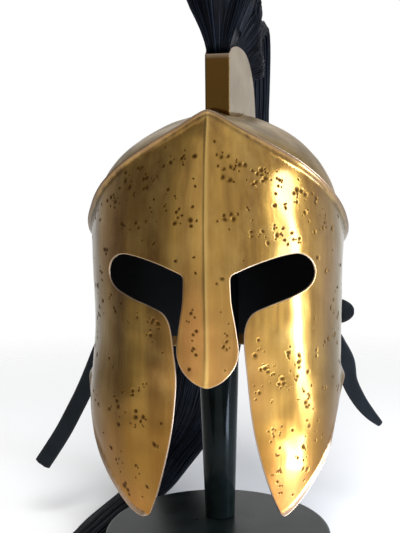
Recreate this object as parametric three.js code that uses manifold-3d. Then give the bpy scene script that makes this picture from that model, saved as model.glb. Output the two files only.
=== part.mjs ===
// A Corinthian helmet with a horsehair crest, on its black display stand.
// Millimetres, Z up. The helmet looks along -Y, and +X is the right of someone who looks at its face.
// The origin is the middle of the underside of the stand's disc.
import * as THREE from "three";
import { mergeVertices } from "three/addons/utils/BufferGeometryUtils.js";
import Module from "manifold-3d";

const wasm = await Module();
wasm.setup();

const rad = THREE.MathUtils.degToRad;

// Driving sizes of the helmet
const AXIS_Y = 34; // the helmet's upright axis, behind the middle of the disc
const SHEET = 2; // thickness of the brass
const GAP = 0.3; // between touching pieces
const KEEL_REACH = 0.55; // part of the half width that the keel spreads over
const RIB_RISE = 1.2;
const RIB_HALF_WIDTH = 2.2;
const LIP_TURN = 4.8; // how far the brow lip stands out of the wall
const LIP_DEPTH = 9; // height over which the lip turns out
const RIM_TURN = 3.5; // how far the lower rim stands out
const RIM_DEPTH = 14;
const CROWN_Z = 390.5;
const CROWN_ROUNDNESS = 1.12;
const CROWN_FRONT_FALL = 0.7; // how much more steeply the crown falls in front
const CROWN_X = 4.5; // the crown's top is off the middle, with the crest
const DOME_GAP = 1.3;
const DOME_OVERLAP = 5; // how far the dome reaches down behind the lip
const DOME_COLUMNS = 48;
const DOME_ROWS = 8;

// Level sections of the wall: half width, shift across, how far behind the axis it is widest, reach to
// the front and back of the axis, and keel
const SECTIONS = [
  { z: 50, half: 99.5, shift: -1.5, widest: -34, front: 118, back: 108, keel: 8 },
  { z: 100, half: 107.2, shift: -1.8, widest: -34, front: 124, back: 112, keel: 9 },
  { z: 145, half: 110, shift: -2, widest: -28, front: 127, back: 117, keel: 10 },
  { z: 200, half: 109.5, shift: 0, widest: -14, front: 130, back: 123, keel: 11 },
  { z: 250, half: 111, shift: 0, widest: -4, front: 131, back: 127, keel: 10 },
  { z: 290, half: 112.5, shift: 0, widest: 0, front: 129.5, back: 129, keel: 9 },
  { z: 330, half: 108, shift: 0, widest: 0, front: 123, back: 128, keel: 8 },
  { z: 360, half: 99, shift: 0, widest: 0, front: 113, back: 120, keel: 7 },
  { z: 390, half: 87, shift: 0, widest: 0, front: 99, back: 105, keel: 6 },
];

// Height of the brow lip, by bearing from the front in degrees
const LIP = [
  { bearing: 0, z: 384 },
  { bearing: 6, z: 380 },
  { bearing: 14, z: 371.5 },
  { bearing: 26, z: 359.5 },
  { bearing: 40, z: 346 },
  { bearing: 54, z: 329.5 },
  { bearing: 66, z: 313.5 },
  { bearing: 78, z: 298 },
  { bearing: 90, z: 284 },
  { bearing: 105, z: 270 },
  { bearing: 125, z: 257 },
  { bearing: 150, z: 248.5 },
  { bearing: 180, z: 245.5 },
];

// Height of the lower edge: the cheek pieces in front, then the neck guard
const RIM_BACK_Z = 159;
const RIM = [
  { bearing: 0, z: 66 },
  { bearing: 24, z: 60 },
  { bearing: 33, z: 55.5 },
  { bearing: 42, z: 62 },
  { bearing: 52, z: 79 },
  { bearing: 60, z: 96 },
  { bearing: 68, z: 113 },
  { bearing: 75, z: 130 },
  { bearing: 80, z: 144 },
  { bearing: 84.5, z: 155 },
  { bearing: 91, z: 160.5 },
  { bearing: 102, z: 161.5 },
  { bearing: 140, z: 160 },
  { bearing: 180, z: RIM_BACK_Z },
];

// The cheek pieces' inner edges stand this much off the middle, below the eyes
const CHEEK_SHIFT = 3;
const CHEEK_SHIFT_FROM = 215;
const CHEEK_SHIFT_TO = 170;

// One side of the nasal, seen from the front, from its tip up to the brow
const NASAL = [
  { x: 0, z: 168.5 },
  { x: 11, z: 173 },
  { x: 20.5, z: 183 },
  { x: 24.3, z: 196 },
  { x: 22.3, z: 215 },
  { x: 19, z: 236 },
  { x: 18.2, z: 256 },
];

// One eye and cheek, from the brow round the outer corner and down to below the cheek's point
const EYE_AND_CHEEK = [
  { x: 18.2, z: 256 },
  { x: 38, z: 264 },
  { x: 58, z: 269.5 },
  { x: 72, z: 270.5 },
  { x: 81.5, z: 263.5 },
  { x: 83.8, z: 253 },
  { x: 78, z: 243.5 },
  { x: 64, z: 237 },
  { x: 46, z: 231 },
  { x: 34, z: 225.5 },
  { x: 28.5, z: 214 },
  { x: 27.3, z: 195 },
  { x: 27.8, z: 170 },
  { x: 31.5, z: 135 },
  { x: 38, z: 105 },
  { x: 45.5, z: 78 },
  { x: 53, z: 58 },
  { x: 57, z: 45 },
];

// Driving sizes of the crest
const CREST_FRONT_Y = -22;
const CREST_X = 4.5;
const CREST_TURN = 5; // degrees that the crest is set askew
const CREST_WALL = 1.6;
const CREST_FOOT_FRONT = 356; // inside the dome, before the dome is cut away
const CREST_FOOT_BACK = 326;
const CREST = [
  { back: 0, half: 10.3, top: 434 },
  { back: 12, half: 11, top: 440 },
  { back: 34, half: 12.6, top: 444.5 },
  { back: 60, half: 14.4, top: 445 },
  { back: 82, half: 15.6, top: 441 },
  { back: 100, half: 16.2, top: 433 },
  { back: 114, half: 16.4, top: 421 },
  { back: 124, half: 16.4, top: 407 },
  { back: 131, half: 16.3, top: 388 },
  { back: 137, half: 16.2, top: 358 },
];

// Driving sizes of the stand
const BASE_RADIUS = 100;
const BASE_HEIGHT = 22;
const BASE_ROUND = 4;
const POST_Y = 30;
const POST_FOOT_RADIUS = 13.6;
const POST_TOP_RADIUS = 18.2;
const POST_TAPER_Z = 165; // the post is a cone below this height
const BLOCK_FOOT_Z = 318;
const BLOCK_FOOT_RADIUS = 22.2;
const BLOCK = [
  { radius: 36, down: 42 },
  { radius: 42, down: 27 },
  { radius: 37, down: 15 },
  { radius: 23, down: 5.5 },
  { radius: 12.5, down: 1.8 },
];

// Driving sizes of the lining
const LINING = 2;
const LINING_GAP = 2.1;
const LINING_ROWS = 4;
const LINING_FRONT_Z = 296;
const LINING_BACK_Z = 172;
const LINING_SIDE = 62; // bearing where the lining comes down behind the eyes
const LINING_TOP = 14; // below the lip, where the lining turns in under the dome
const LINING_LEAST = 8;

// Driving sizes of the straps, each with the place where its upper end lies on the wall
const STRAP_WIDTH = 16;
const STRAP_THICKNESS = 2.6;
const STRAP_LEFT_Y = 60;
const STRAP_RIGHT_Y = 76;
const STRAP_SEAT = 0.9; // the flat strap's middle stands off the curved wall by this much
const STRAP_EASE = 0.6; // and a little more where it leaves the wall
const seatLeft = (z) => wallSide(-1, STRAP_LEFT_Y, z, STRAP_SEAT + STRAP_THICKNESS / 2).point.x;
const seatRight = (z) => wallSide(1, STRAP_RIGHT_Y, z, STRAP_SEAT + STRAP_THICKNESS / 2).point.x;

// The middle line of each chin strap from its upper end, its share of the full width, and how far it has
// turned from flat on the wall to facing forward
const STRAP_LEFT = [
  { x: seatLeft(214), y: STRAP_LEFT_Y, z: 214, share: 0.7, turn: 0 },
  { x: seatLeft(208), y: STRAP_LEFT_Y, z: 208, share: 1, turn: 0 },
  { x: seatLeft(194) - STRAP_EASE, y: STRAP_LEFT_Y, z: 194, share: 1, turn: 0 },
  { x: -114, y: 60, z: 175, share: 1, turn: 0.55 },
  { x: -122.5, y: 60, z: 154, share: 1, turn: 1 },
  { x: -132, y: 59, z: 132, share: 1, turn: 1 },
  { x: -142, y: 57, z: 112, share: 1, turn: 1 },
  { x: -155, y: 54, z: 88, share: 1, turn: 1 },
  { x: -174, y: 50, z: 59, share: 1, turn: 1 },
];
const STRAP_RIGHT = [
  { x: seatRight(214), y: STRAP_RIGHT_Y, z: 214, share: 0.7, turn: 0 },
  { x: seatRight(208), y: STRAP_RIGHT_Y, z: 208, share: 1, turn: 0 },
  { x: seatRight(194) + STRAP_EASE, y: STRAP_RIGHT_Y, z: 194, share: 1, turn: 0 },
  { x: 109.5, y: 77.5, z: 176, share: 1, turn: 0.5 },
  { x: 118.5, y: 78, z: 158, share: 1, turn: 1 },
  { x: 122, y: 78, z: 138, share: 0.95, turn: 1 },
  { x: 131, y: 77, z: 120, share: 0.85, turn: 1 },
  { x: 141, y: 76, z: 107, share: 0.68, turn: 1 },
  { x: 151.5, y: 75, z: 97, share: 0.36, turn: 1 },
];

// The ear over each strap's upper end, from where it lies flat out to its round end, and its share of the
// full height
const EAR_HEIGHT = 24;
const EAR = [
  { out: 0, back: 17, share: 0.8 },
  { out: 0, back: 13, share: 1 },
  { out: 0.8, back: 6, share: 1 },
  { out: 4, back: 0, share: 1 },
  { out: 8.5, back: -4, share: 0.98 },
  { out: 13, back: -6.5, share: 0.86 },
  { out: 16.6, back: -8, share: 0.62 },
  { out: 18.4, back: -8.5, share: 0.3 },
];
const EAR_Z = 206;
const EAR_CURL_LEFT = 0.35; // the left ear lies closer to the wall
const EAR_CURL_RIGHT = 1;

// The fall of hair from the back of the crest to the floor beside the disc
const TAIL = [
  { x: 11, y: 78, z: 418, wide: 9, thick: 8 },
  { x: 15, y: 97, z: 452, wide: 16, thick: 12 },
  { x: 18, y: 121, z: 477, wide: 22, thick: 14 },
  { x: 20, y: 147, z: 478, wide: 25, thick: 15 },
  { x: 19, y: 169, z: 438, wide: 26, thick: 14 },
  { x: 15, y: 180, z: 374, wide: 28, thick: 12 },
  { x: 7, y: 186, z: 305, wide: 31, thick: 11 },
  { x: -5, y: 189, z: 245, wide: 34, thick: 10 },
  { x: -20, y: 185, z: 178, wide: 37, thick: 10 },
  { x: -34, y: 180, z: 115, wide: 37, thick: 10 },
  { x: -48, y: 171, z: 64, wide: 33, thick: 10 },
  { x: -67, y: 151, z: 29, wide: 28, thick: 9 },
  { x: -83, y: 122, z: 12.5, wide: 23, thick: 7.5 },
  { x: -98, y: 88, z: 8, wide: 20, thick: 6 },
  { x: -110, y: 50, z: 7.5, wide: 18, thick: 5.5 },
  { x: -119, y: 8, z: 7.5, wide: 16, thick: 5.5 },
  { x: -130, y: -36, z: 7, wide: 13, thick: 5 },
  { x: -144, y: -76, z: 6, wide: 6, thick: 3.5 },
];
const TAIL_LOCKS = 4;
const TAIL_GROOVE = 0.24; // depth of the grooves between locks, as a share of the hank's thickness

// Driving sizes of the mane, which fans out from a row of roots along the crest
const MANE_LENGTH = 104;
const MANE_LOCKS = 9;
const MANE_FRONT = 6; // back from the crest's front
const MANE_RUN = 104;
const MANE_SEAT = 2; // below the crest's top edge
const MANE_ROOT_DEPTH = 28;
const MANE_LEAN_FRONT = -7;
const MANE_LEAN_BACK = 74;
const MANE_SHORTER_BEHIND = 0.42;
const MANE_NARROWER_BEHIND = 0.22;
const MANE_SWEEP = 10; // how far the rear locks' tips curve back
const LOCK_NOTCH = 0.07; // depth of the notches between locks, as a share of their length
const LOCK_GROOVE = 0.1; // and of their half width

// The mane from its root up: share of its length, and half width
const MANE = [
  { reach: -1, half: 0 },
  { reach: 0, half: 0 },
  { reach: 0.14, half: 12 },
  { reach: 0.28, half: 16.5 },
  { reach: 0.44, half: 23 },
  { reach: 0.64, half: 29 },
  { reach: 0.83, half: 29 },
  { reach: 0.95, half: 20 },
  { reach: 1, half: 7 },
];

// Value of a smooth line through a table's rows
function along(table, key, value, at) {
  let i = 0;
  while (i < table.length - 2 && at > table[i + 1][key]) i += 1;
  const a = table[Math.max(i - 1, 0)];
  const b = table[i];
  const c = table[i + 1];
  const d = table[Math.min(i + 2, table.length - 1)];
  const span = c[key] - b[key];
  const t = THREE.MathUtils.clamp((at - b[key]) / span, 0, 1);
  const slopeB = i === 0 ? 0 : ((c[value] - a[value]) / (c[key] - a[key])) * span;
  const slopeC = i + 2 >= table.length ? 0 : ((d[value] - b[value]) / (d[key] - b[key])) * span;
  const t2 = t * t;
  const t3 = t2 * t;
  return (2 * t3 - 3 * t2 + 1) * b[value] + (t3 - 2 * t2 + t) * slopeB
    + (3 * t2 - 2 * t3) * c[value] + (t3 - t2) * slopeC;
}

const lipZ = (bearing) => along(LIP, "bearing", "z", Math.abs(bearing));
const rimZ = (bearing) => along(RIM, "bearing", "z", Math.abs(bearing));

// A point of the wall at a bearing in degrees and a height, moved out by some distance
function wallPoint(bearing, z, out) {
  const half = along(SECTIONS, "z", "half", z) + out;
  const front = along(SECTIONS, "z", "front", z) + out;
  const back = along(SECTIONS, "z", "back", z) + out;
  const keel = along(SECTIONS, "z", "keel", z);
  const widest = along(SECTIONS, "z", "widest", z);
  const shift = along(SECTIONS, "z", "shift", z);
  const s = Math.sin(rad(bearing));
  const c = Math.cos(rad(bearing));
  const ridge = keel * Math.max(0, 1 - Math.abs(s) / KEEL_REACH) ** 1.5;
  const y = c > 0 ? widest - (front + widest - keel) * c - ridge : widest - (back - widest) * c;
  return new THREE.Vector3(half * s + shift, AXIS_Y + y, z);
}

// The rear half of the wall on one side, at a depth and a height: the point some distance off it, and
// the way that it faces
function wallSide(side, y, z, off) {
  const half = along(SECTIONS, "z", "half", z);
  const shift = along(SECTIONS, "z", "shift", z);
  const widest = along(SECTIONS, "z", "widest", z);
  const depth = along(SECTIONS, "z", "back", z) - widest;
  const c = (y - AXIS_Y - widest) / depth;
  const s = side * Math.sqrt(1 - c * c);
  const face = new THREE.Vector3(s / half, c / depth, 0).normalize();
  return { point: new THREE.Vector3(half * s + shift, y, z).addScaledVector(face, off), face };
}

// How far the outer face stands out of the plain wall
function relief(bearing, z) {
  const lip = LIP_TURN * Math.max(0, 1 - (lipZ(bearing) - z) / LIP_DEPTH) ** 2;
  const behind = THREE.MathUtils.smoothstep(Math.abs(bearing), 36, 60);
  const rim = RIM_TURN * behind * Math.max(0, 1 - (z - rimZ(bearing)) / RIM_DEPTH) ** 2;
  const x = Math.abs(Math.sin(rad(bearing))) * 100;
  const rib = Math.cos(rad(bearing)) > 0 && x < RIB_HALF_WIDTH ? RIB_RISE : 0;
  return lip + rim + rib;
}

// A closed body from a grid of points: rows of equal length, open or closed across, ends capped
function gridBody(rows, closedRows, closedColumns) {
  const points = [];
  const faces = [];
  const m = rows.length;
  const n = rows[0].length;
  rows.forEach((row) => row.forEach((p) => points.push(p.x, p.y, p.z)));
  const at = (i, j) => (i % m) * n + (j % n);
  for (let i = 0; i < (closedRows ? m : m - 1); i += 1) {
    for (let j = 0; j < (closedColumns ? n : n - 1); j += 1) {
      faces.push(at(i, j), at(i, j + 1), at(i + 1, j + 1));
      faces.push(at(i, j), at(i + 1, j + 1), at(i + 1, j));
    }
  }
  if (!closedRows) {
    [0, m - 1].forEach((i) => {
      const middle = points.length / 3;
      const sum = rows[i].reduce((total, p) => total.add(p), new THREE.Vector3());
      sum.divideScalar(n);
      points.push(sum.x, sum.y, sum.z);
      for (let j = 0; j < n; j += 1) {
        if (i === 0) faces.push(middle, at(i, j + 1), at(i, j));
        else faces.push(middle, at(i, j), at(i, j + 1));
      }
    });
  }
  const geometry = new THREE.BufferGeometry();
  geometry.setAttribute("position", new THREE.Float32BufferAttribute(points, 3));
  geometry.setIndex(faces);
  return geometry;
}

// To and from the library that joins and cuts
function solid(geometry) {
  const bare = geometry.clone();
  bare.deleteAttribute("normal");
  bare.deleteAttribute("uv");
  const merged = mergeVertices(bare, 1e-4);
  const mesh = new wasm.Mesh({
    numProp: 3,
    vertProperties: new Float32Array(merged.attributes.position.array),
    triVerts: new Uint32Array(merged.index.array),
  });
  mesh.merge();
  const body = new wasm.Manifold(mesh);
  return body;
}

function surface(body) {
  const mesh = body.getMesh();
  const geometry = new THREE.BufferGeometry();
  geometry.setAttribute("position", new THREE.BufferAttribute(mesh.vertProperties, 3));
  geometry.setIndex(new THREE.BufferAttribute(mesh.triVerts, 1));
  geometry.computeVertexNormals();
  return geometry;
}

const finishes = {
  brass: new THREE.MeshStandardMaterial({ color: 0x9c7a35, roughness: 0.35, metalness: 1 }),
  crestBrass: new THREE.MeshStandardMaterial({ color: 0x8a7e66, roughness: 0.4, metalness: 1 }),
  hair: new THREE.MeshStandardMaterial({ color: 0x0b0c11, roughness: 0.55, metalness: 0 }),
  lining: new THREE.MeshStandardMaterial({ color: 0x060606, roughness: 0.9, metalness: 0 }),
  strap: new THREE.MeshStandardMaterial({ color: 0x15120f, roughness: 0.5, metalness: 0 }),
  stand: new THREE.MeshStandardMaterial({ color: 0x101413, roughness: 0.15, metalness: 0 }),
};

const helmet = new THREE.Group();

function add(name, geometry, material) {
  const mesh = new THREE.Mesh(geometry, material);
  mesh.name = name;
  helmet.add(mesh);
  return mesh;
}

// The bearings of the wall's columns: fine round the rib and the face, coarse behind
function bearings() {
  const half = [1.1, 1.35, 3];
  for (let b = 7; b <= 91; b += 4) half.push(b);
  for (let b = 98; b < 180; b += 8) half.push(b);
  return [...half.map((b) => -b).reverse(), 0, ...half, 180];
}

// The main shell: face, nasal, cheek pieces and neck guard in one sheet
function faceShell() {
  const plainRows = 6;
  const rows = bearings().map((bearing) => {
    const top = lipZ(bearing);
    const foot = rimZ(bearing);
    const heights = [0, 0.35, 0.7, 1].map((down) => top - down * LIP_DEPTH);
    const low = foot + RIM_DEPTH / 2;
    for (let k = 1; k <= plainRows; k += 1) {
      heights.push(THREE.MathUtils.lerp(top - LIP_DEPTH, low, k / (plainRows + 1)));
    }
    heights.push(low, foot);
    const outer = heights.map((z) => wallPoint(bearing, z, relief(bearing, z)));
    const inner = heights.map((z) => wallPoint(bearing, z, Math.min(relief(bearing, z), LIP_TURN) - SHEET));
    return [...outer, ...inner.reverse()];
  });
  return solid(gridBody(rows, true, true));
}

const cheekShift = (z) => CHEEK_SHIFT * (1 - THREE.MathUtils.smoothstep(z, CHEEK_SHIFT_TO, CHEEK_SHIFT_FROM));

// The openings of the face as one closed outline, seen from the front
function faceOpening() {
  const past = 200; // from behind the face out past its front
  const spline = (table) => new THREE.SplineCurve(table.map((row) => new THREE.Vector2(row.x, row.z)));
  const cheek = spline(EYE_AND_CHEEK).getPoints(68).slice(1);
  const nasal = spline(NASAL).getPoints(24);
  const edge = (side) => [
    ...nasal.map((p) => new THREE.Vector2(side * p.x, p.y)),
    ...cheek.map((p) => new THREE.Vector2(side * p.x + cheekShift(p.y), p.y)),
  ];
  const right = edge(1);
  const left = edge(-1).slice(1).reverse();
  const shape = new THREE.Shape([...left, ...right]);
  const cutter = new THREE.ExtrudeGeometry(shape, { depth: past, bevelEnabled: false });
  cutter.rotateX(Math.PI / 2);
  cutter.translate(0, AXIS_Y - 10, 0);
  return solid(cutter);
}

// The skull cap, a quarter of an ellipse from the lip to the crown at every bearing
function domePoint(bearing, turn, out) {
  const foot = lipZ(bearing) - DOME_OVERLAP;
  const start = wallPoint(bearing, foot, relief(bearing, foot) - SHEET - DOME_GAP);
  const front = 1 - THREE.MathUtils.smoothstep(Math.abs(bearing), 25, 80);
  const c = Math.max(Math.cos(turn), 0) ** (CROWN_ROUNDNESS + CROWN_FRONT_FALL * front);
  const x = start.x * c + CROWN_X * (1 - c);
  const y = AXIS_Y + (start.y - AXIS_Y) * c;
  const z = foot + (CROWN_Z - foot) * Math.sin(turn);
  const radius = Math.hypot(x, y - AXIS_Y) || 1;
  const level = Math.cos(turn) * out;
  return new THREE.Vector3(
    x + (x / radius) * level,
    y + ((y - AXIS_Y) / radius) * level,
    z + Math.sin(turn) * out,
  );
}

function domeSkin(out, count = DOME_COLUMNS, steps = DOME_ROWS) {
  const rings = [];
  for (let k = 0; k < steps; k += 1) {
    const turn = (k / steps) * (Math.PI / 2);
    const ring = [];
    for (let i = 0; i < count; i += 1) ring.push(domePoint((360 * i) / count - 180, turn, out));
    rings.push(ring);
  }
  return rings;
}

function skullDome() {
  return capBody(domeSkin(0), domeSkin(-SHEET), CROWN_Z, CROWN_Z - SHEET);
}

// A bowl turned over, from its outer and inner rings, lowest first
function capBody(outer, inner, outerTop, innerTop) {
  const points = [];
  const faces = [];
  const n = outer[0].length;
  const put = (p) => points.push(p.x, p.y, p.z) / 3 - 1;
  const indexRings = (rings) => rings.map((ring) => ring.map(put));
  const out = indexRings(outer);
  const ins = indexRings(inner);
  const outTop = put(new THREE.Vector3(CROWN_X, AXIS_Y, outerTop));
  const inTop = put(new THREE.Vector3(CROWN_X, AXIS_Y, innerTop));
  const band = (low, high, flip) => {
    for (let j = 0; j < n; j += 1) {
      const k = (j + 1) % n;
      if (flip) faces.push(low[j], high[k], low[k], low[j], high[j], high[k]);
      else faces.push(low[j], low[k], high[k], low[j], high[k], high[j]);
    }
  };
  const lid = (ring, top, flip) => {
    for (let j = 0; j < n; j += 1) {
      const k = (j + 1) % n;
      if (flip) faces.push(ring[k], ring[j], top);
      else faces.push(ring[j], ring[k], top);
    }
  };
  for (let i = 0; i + 1 < out.length; i += 1) band(out[i], out[i + 1], false);
  for (let i = 0; i + 1 < ins.length; i += 1) band(ins[i], ins[i + 1], true);
  lid(out[out.length - 1], outTop, false);
  lid(ins[ins.length - 1], inTop, true);
  band(ins[0], out[0], false);
  const geometry = new THREE.BufferGeometry();
  geometry.setAttribute("position", new THREE.Float32BufferAttribute(points, 3));
  geometry.setIndex(faces);
  return geometry;
}

const shell = faceShell().subtract(faceOpening());
add("face_shell", surface(shell), finishes.brass);
add("skull_dome", skullDome(), finishes.crestBrass);

// The stand: disc, post and the rounded block under the crown
function turned(name, profile, segments, y) {
  const outline = profile.map(([radius, z]) => new THREE.Vector2(radius, z));
  const geometry = new THREE.LatheGeometry(outline, segments);
  geometry.rotateX(Math.PI / 2);
  geometry.translate(0, y, 0);
  return add(name, geometry, finishes.stand);
}

function roundedEdge(radius, z, round, steps) {
  const points = [];
  for (let i = 0; i <= steps; i += 1) {
    const a = (i / steps) * (Math.PI / 2);
    points.push([radius - round + round * Math.cos(a), z - round + round * Math.sin(a)]);
  }
  return points;
}

turned("stand_base", [
  [0, 0],
  [BASE_RADIUS - 1, 0],
  [BASE_RADIUS, 1],
  ...roundedEdge(BASE_RADIUS, BASE_HEIGHT, BASE_ROUND, 3),
  [0, BASE_HEIGHT],
], 56, 0);

turned("stand_post", [
  [0, BASE_HEIGHT + GAP],
  [POST_FOOT_RADIUS, BASE_HEIGHT + GAP],
  [POST_TOP_RADIUS, POST_TAPER_Z],
  [POST_TOP_RADIUS, BLOCK_FOOT_Z - GAP],
  [0, BLOCK_FOOT_Z - GAP],
], 24, POST_Y);

// The block that the crown rests on, hidden inside
const crownUnder = CROWN_Z - SHEET - LINING_GAP - LINING - 6 * GAP;
turned("stand_block", [
  [0, BLOCK_FOOT_Z],
  [BLOCK_FOOT_RADIUS, BLOCK_FOOT_Z],
  ...BLOCK.map((row) => [row.radius, crownUnder - row.down]),
  [0, crownUnder],
], 24, AXIS_Y);

// The black lining: a cap under the dome that comes down the sides and back
function lining() {
  const count = 36;
  const ringsAt = (out) => {
    const rings = [];
    for (let k = 0; k <= LINING_ROWS; k += 1) {
      const ring = [];
      for (let i = 0; i < count; i += 1) {
        const bearing = (360 * i) / count - 180;
        const down = THREE.MathUtils.smoothstep(Math.abs(bearing), LINING_SIDE - 8, LINING_SIDE + 8);
        const top = lipZ(bearing) - LINING_TOP;
        const foot = Math.min(THREE.MathUtils.lerp(LINING_FRONT_Z, LINING_BACK_Z, down), top - LINING_LEAST);
        const z = THREE.MathUtils.lerp(foot, top, k / LINING_ROWS);
        ring.push(wallPoint(bearing, z, out));
      }
      rings.push(ring);
    }
    return [...rings, ...domeSkin(out, count, 6).slice(1)];
  };
  const far = -SHEET - LINING_GAP;
  return capBody(ringsAt(far), ringsAt(far - LINING), CROWN_Z + far, CROWN_Z + far - LINING);
}
add("liner", lining(), finishes.lining);

// A point of the crest, from its distance across, back from its front, and height
function crestPoint(across, back, z) {
  const turn = rad(CREST_TURN);
  return new THREE.Vector3(
    CREST_X + across * Math.cos(turn) + back * Math.sin(turn),
    CREST_FRONT_Y - across * Math.sin(turn) + back * Math.cos(turn),
    z,
  );
}

// A block along the crest between two heights, its half width less some inset
function crestBlock(stations, inset, low, high) {
  const rows = stations.map((back) => {
    const half = along(CREST, "back", "half", back) - inset;
    return [
      crestPoint(-half, back, low(back)),
      crestPoint(half, back, low(back)),
      crestPoint(half, back, high(back)),
      crestPoint(-half, back, high(back)),
    ];
  });
  return solid(gridBody(rows.reverse(), false, true));
}

// All that lies under the dome's outer face, moved out by some distance
function underDome(out) {
  const rings = domeSkin(out);
  rings.push(rings[0].map(() => new THREE.Vector3(CROWN_X, AXIS_Y, CROWN_Z + out)));
  return solid(gridBody(rings, false, true));
}

// The crest holder: front plate, two side plates and a floor that follows the dome
const crestLength = CREST[CREST.length - 1].back;
const crestTop = (back) => along(CREST, "back", "top", back);
const underCrest = (back) => THREE.MathUtils.lerp(CREST_FOOT_FRONT, CREST_FOOT_BACK, back / crestLength);

function crestBox() {
  const above = 500;
  const stations = CREST.flatMap((row, i) => (i ? [(row.back + CREST[i - 1].back) / 2, row.back] : [0]));
  const block = crestBlock(stations, 0, underCrest, crestTop).subtract(underDome(GAP));
  const cavity = crestBlock([CREST_WALL, 40, 82, crestLength + 4], CREST_WALL, underCrest, () => above);
  return block.subtract(cavity.subtract(underDome(GAP + CREST_WALL)));
}
add("crest_box", surface(crestBox()), finishes.crestBrass);

// The mane: a fan of hair that stands in the holder, its edge broken into locks
function mane() {
  const rows = [];
  for (let k = 0; k <= MANE_LOCKS * 2; k += 1) {
    const share = k / (MANE_LOCKS * 2);
    const between = k % 2 ? 0 : 1;
    const root = MANE_FRONT + share * MANE_RUN;
    const rootHalf = along(CREST, "back", "half", root) - CREST_WALL - 2 * GAP;
    const lean = rad(THREE.MathUtils.lerp(MANE_LEAN_FRONT, MANE_LEAN_BACK, share ** 1.5));
    const length = MANE_LENGTH * (1 - MANE_SHORTER_BEHIND * share ** 1.5) * (1 - LOCK_NOTCH * between);
    const spread = (1 - LOCK_GROOVE * between) * (1 - MANE_NARROWER_BEHIND * share);
    const side = (sign) => MANE.map((row) => {
      const rise = Math.max(row.reach, 0) * length;
      const sunk = row.reach < 0 ? MANE_ROOT_DEPTH : 0;
      return crestPoint(
        sign * (row.reach <= 0 ? rootHalf : row.half * spread),
        root + Math.sin(lean) * rise + MANE_SWEEP * share * (rise / MANE_LENGTH) ** 2,
        crestTop(root) - MANE_SEAT - sunk + Math.cos(lean) * rise,
      );
    });
    rows.push([...side(-1), ...side(1).reverse()]);
  }
  return solid(gridBody(rows, false, true));
}

// The fall: one flat hank along its route, ribbed lengthwise into locks
function tail() {
  const curve = new THREE.CatmullRomCurve3(
    TAIL.map((row) => new THREE.Vector3(row.x, row.y, row.z)), false, "catmullrom", 0.5,
  );
  const steps = (TAIL.length - 1) * 2;
  const sides = 4 * TAIL_LOCKS;
  const across = new THREE.Vector3(1, 0, 0);
  const rows = [];
  for (let i = 0; i <= steps; i += 1) {
    const p = curve.getPoint(i / steps);
    const ahead = curve.getTangent(i / steps);
    across.addScaledVector(ahead, -across.dot(ahead)).setZ(0).normalize();
    const up = ahead.clone().cross(across).normalize();
    const j = Math.min(Math.floor(i / 2), TAIL.length - 2);
    const size = (key) => THREE.MathUtils.lerp(TAIL[j][key], TAIL[j + 1][key], i / 2 - j);
    const ring = [];
    for (let k = 0; k < sides; k += 1) {
      const turn = (2 * Math.PI * k) / sides;
      const rib = k % 2 ? 1 - TAIL_GROOVE : 1;
      ring.push(p.clone()
        .addScaledVector(across, Math.cos(turn) * size("wide"))
        .addScaledVector(up, Math.sin(turn) * size("thick") * rib));
    }
    rows.push(ring);
  }
  return solid(gridBody(rows, false, true));
}

const plume = () => mane().add(tail());
add("plume", surface(plume()), finishes.hair);

// A leather strip from its cross-sections: middle, direction across, face and half width
function strip(sections) {
  const rows = sections.map(({ p, across, face, half }) => {
    const corner = (a, f) => p.clone()
      .addScaledVector(across, a * half)
      .addScaledVector(face, (f * STRAP_THICKNESS) / 2);
    return [corner(-1, -1), corner(1, -1), corner(1, 1), corner(-1, 1)];
  });
  const body = solid(gridBody(rows, false, true));
  return body.volume() > 0 ? body : solid(gridBody(rows.reverse(), false, true));
}

// A strap along its middle line: flat on the wall at the top, turned to face forward below
function strap(name, table) {
  const curve = new THREE.CatmullRomCurve3(
    table.map((row) => new THREE.Vector3(row.x, row.y, row.z)), false, "catmullrom", 0.5,
  );
  const steps = (table.length - 1) * 2;
  const sections = [];
  for (let i = 0; i <= steps; i += 1) {
    const p = curve.getPoint(i / steps);
    const ahead = curve.getTangent(i / steps);
    const j = Math.min(Math.floor(i / 2), table.length - 2);
    const value = (key) => THREE.MathUtils.lerp(table[j][key], table[j + 1][key], i / 2 - j);
    const wall = wallSide(Math.sign(p.x), p.y, Math.max(p.z, RIM_BACK_Z), 0).face;
    const facing = wall.lerp(new THREE.Vector3(0, 1, 0), value("turn")).normalize();
    const across = ahead.clone().cross(facing).normalize();
    const face = across.clone().cross(ahead).normalize();
    sections.push({ p, across, face, half: (value("share") * STRAP_WIDTH) / 2 });
  }
  add(name, surface(strip(sections)), finishes.strap);
}
strap("strap_left", STRAP_LEFT);
strap("strap_right", STRAP_RIGHT);

// The ear: flat on the wall behind, curling out to a round end in front
function ear(name, side, y, curl) {
  const { point, face } = wallSide(side, y, EAR_Z, STRAP_SEAT + STRAP_THICKNESS * 1.5 + GAP);
  const behind = new THREE.Vector3(-face.y * side, face.x * side, 0);
  const middle = EAR.map((row) => point.clone()
    .addScaledVector(face, row.out * curl)
    .addScaledVector(behind, row.back));
  const sections = middle.map((p, i) => {
    const a = middle[Math.max(i - 1, 0)];
    const b = middle[Math.min(i + 1, middle.length - 1)];
    const ahead = b.clone().sub(a).normalize();
    const upright = new THREE.Vector3(0, 0, 1);
    const half = (EAR[i].share * EAR_HEIGHT) / 2;
    return { p, across: upright, face: upright.clone().cross(ahead), half };
  });
  add(name, surface(strip(sections)), finishes.strap);
}
ear("ear_left", -1, STRAP_LEFT_Y, EAR_CURL_LEFT);
ear("ear_right", 1, STRAP_RIGHT_Y, EAR_CURL_RIGHT);

export default helmet;
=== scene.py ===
"""A Corinthian helmet of aged brass with a horsehair crest, on a gloss black disc stand."""
import math
import random

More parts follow.
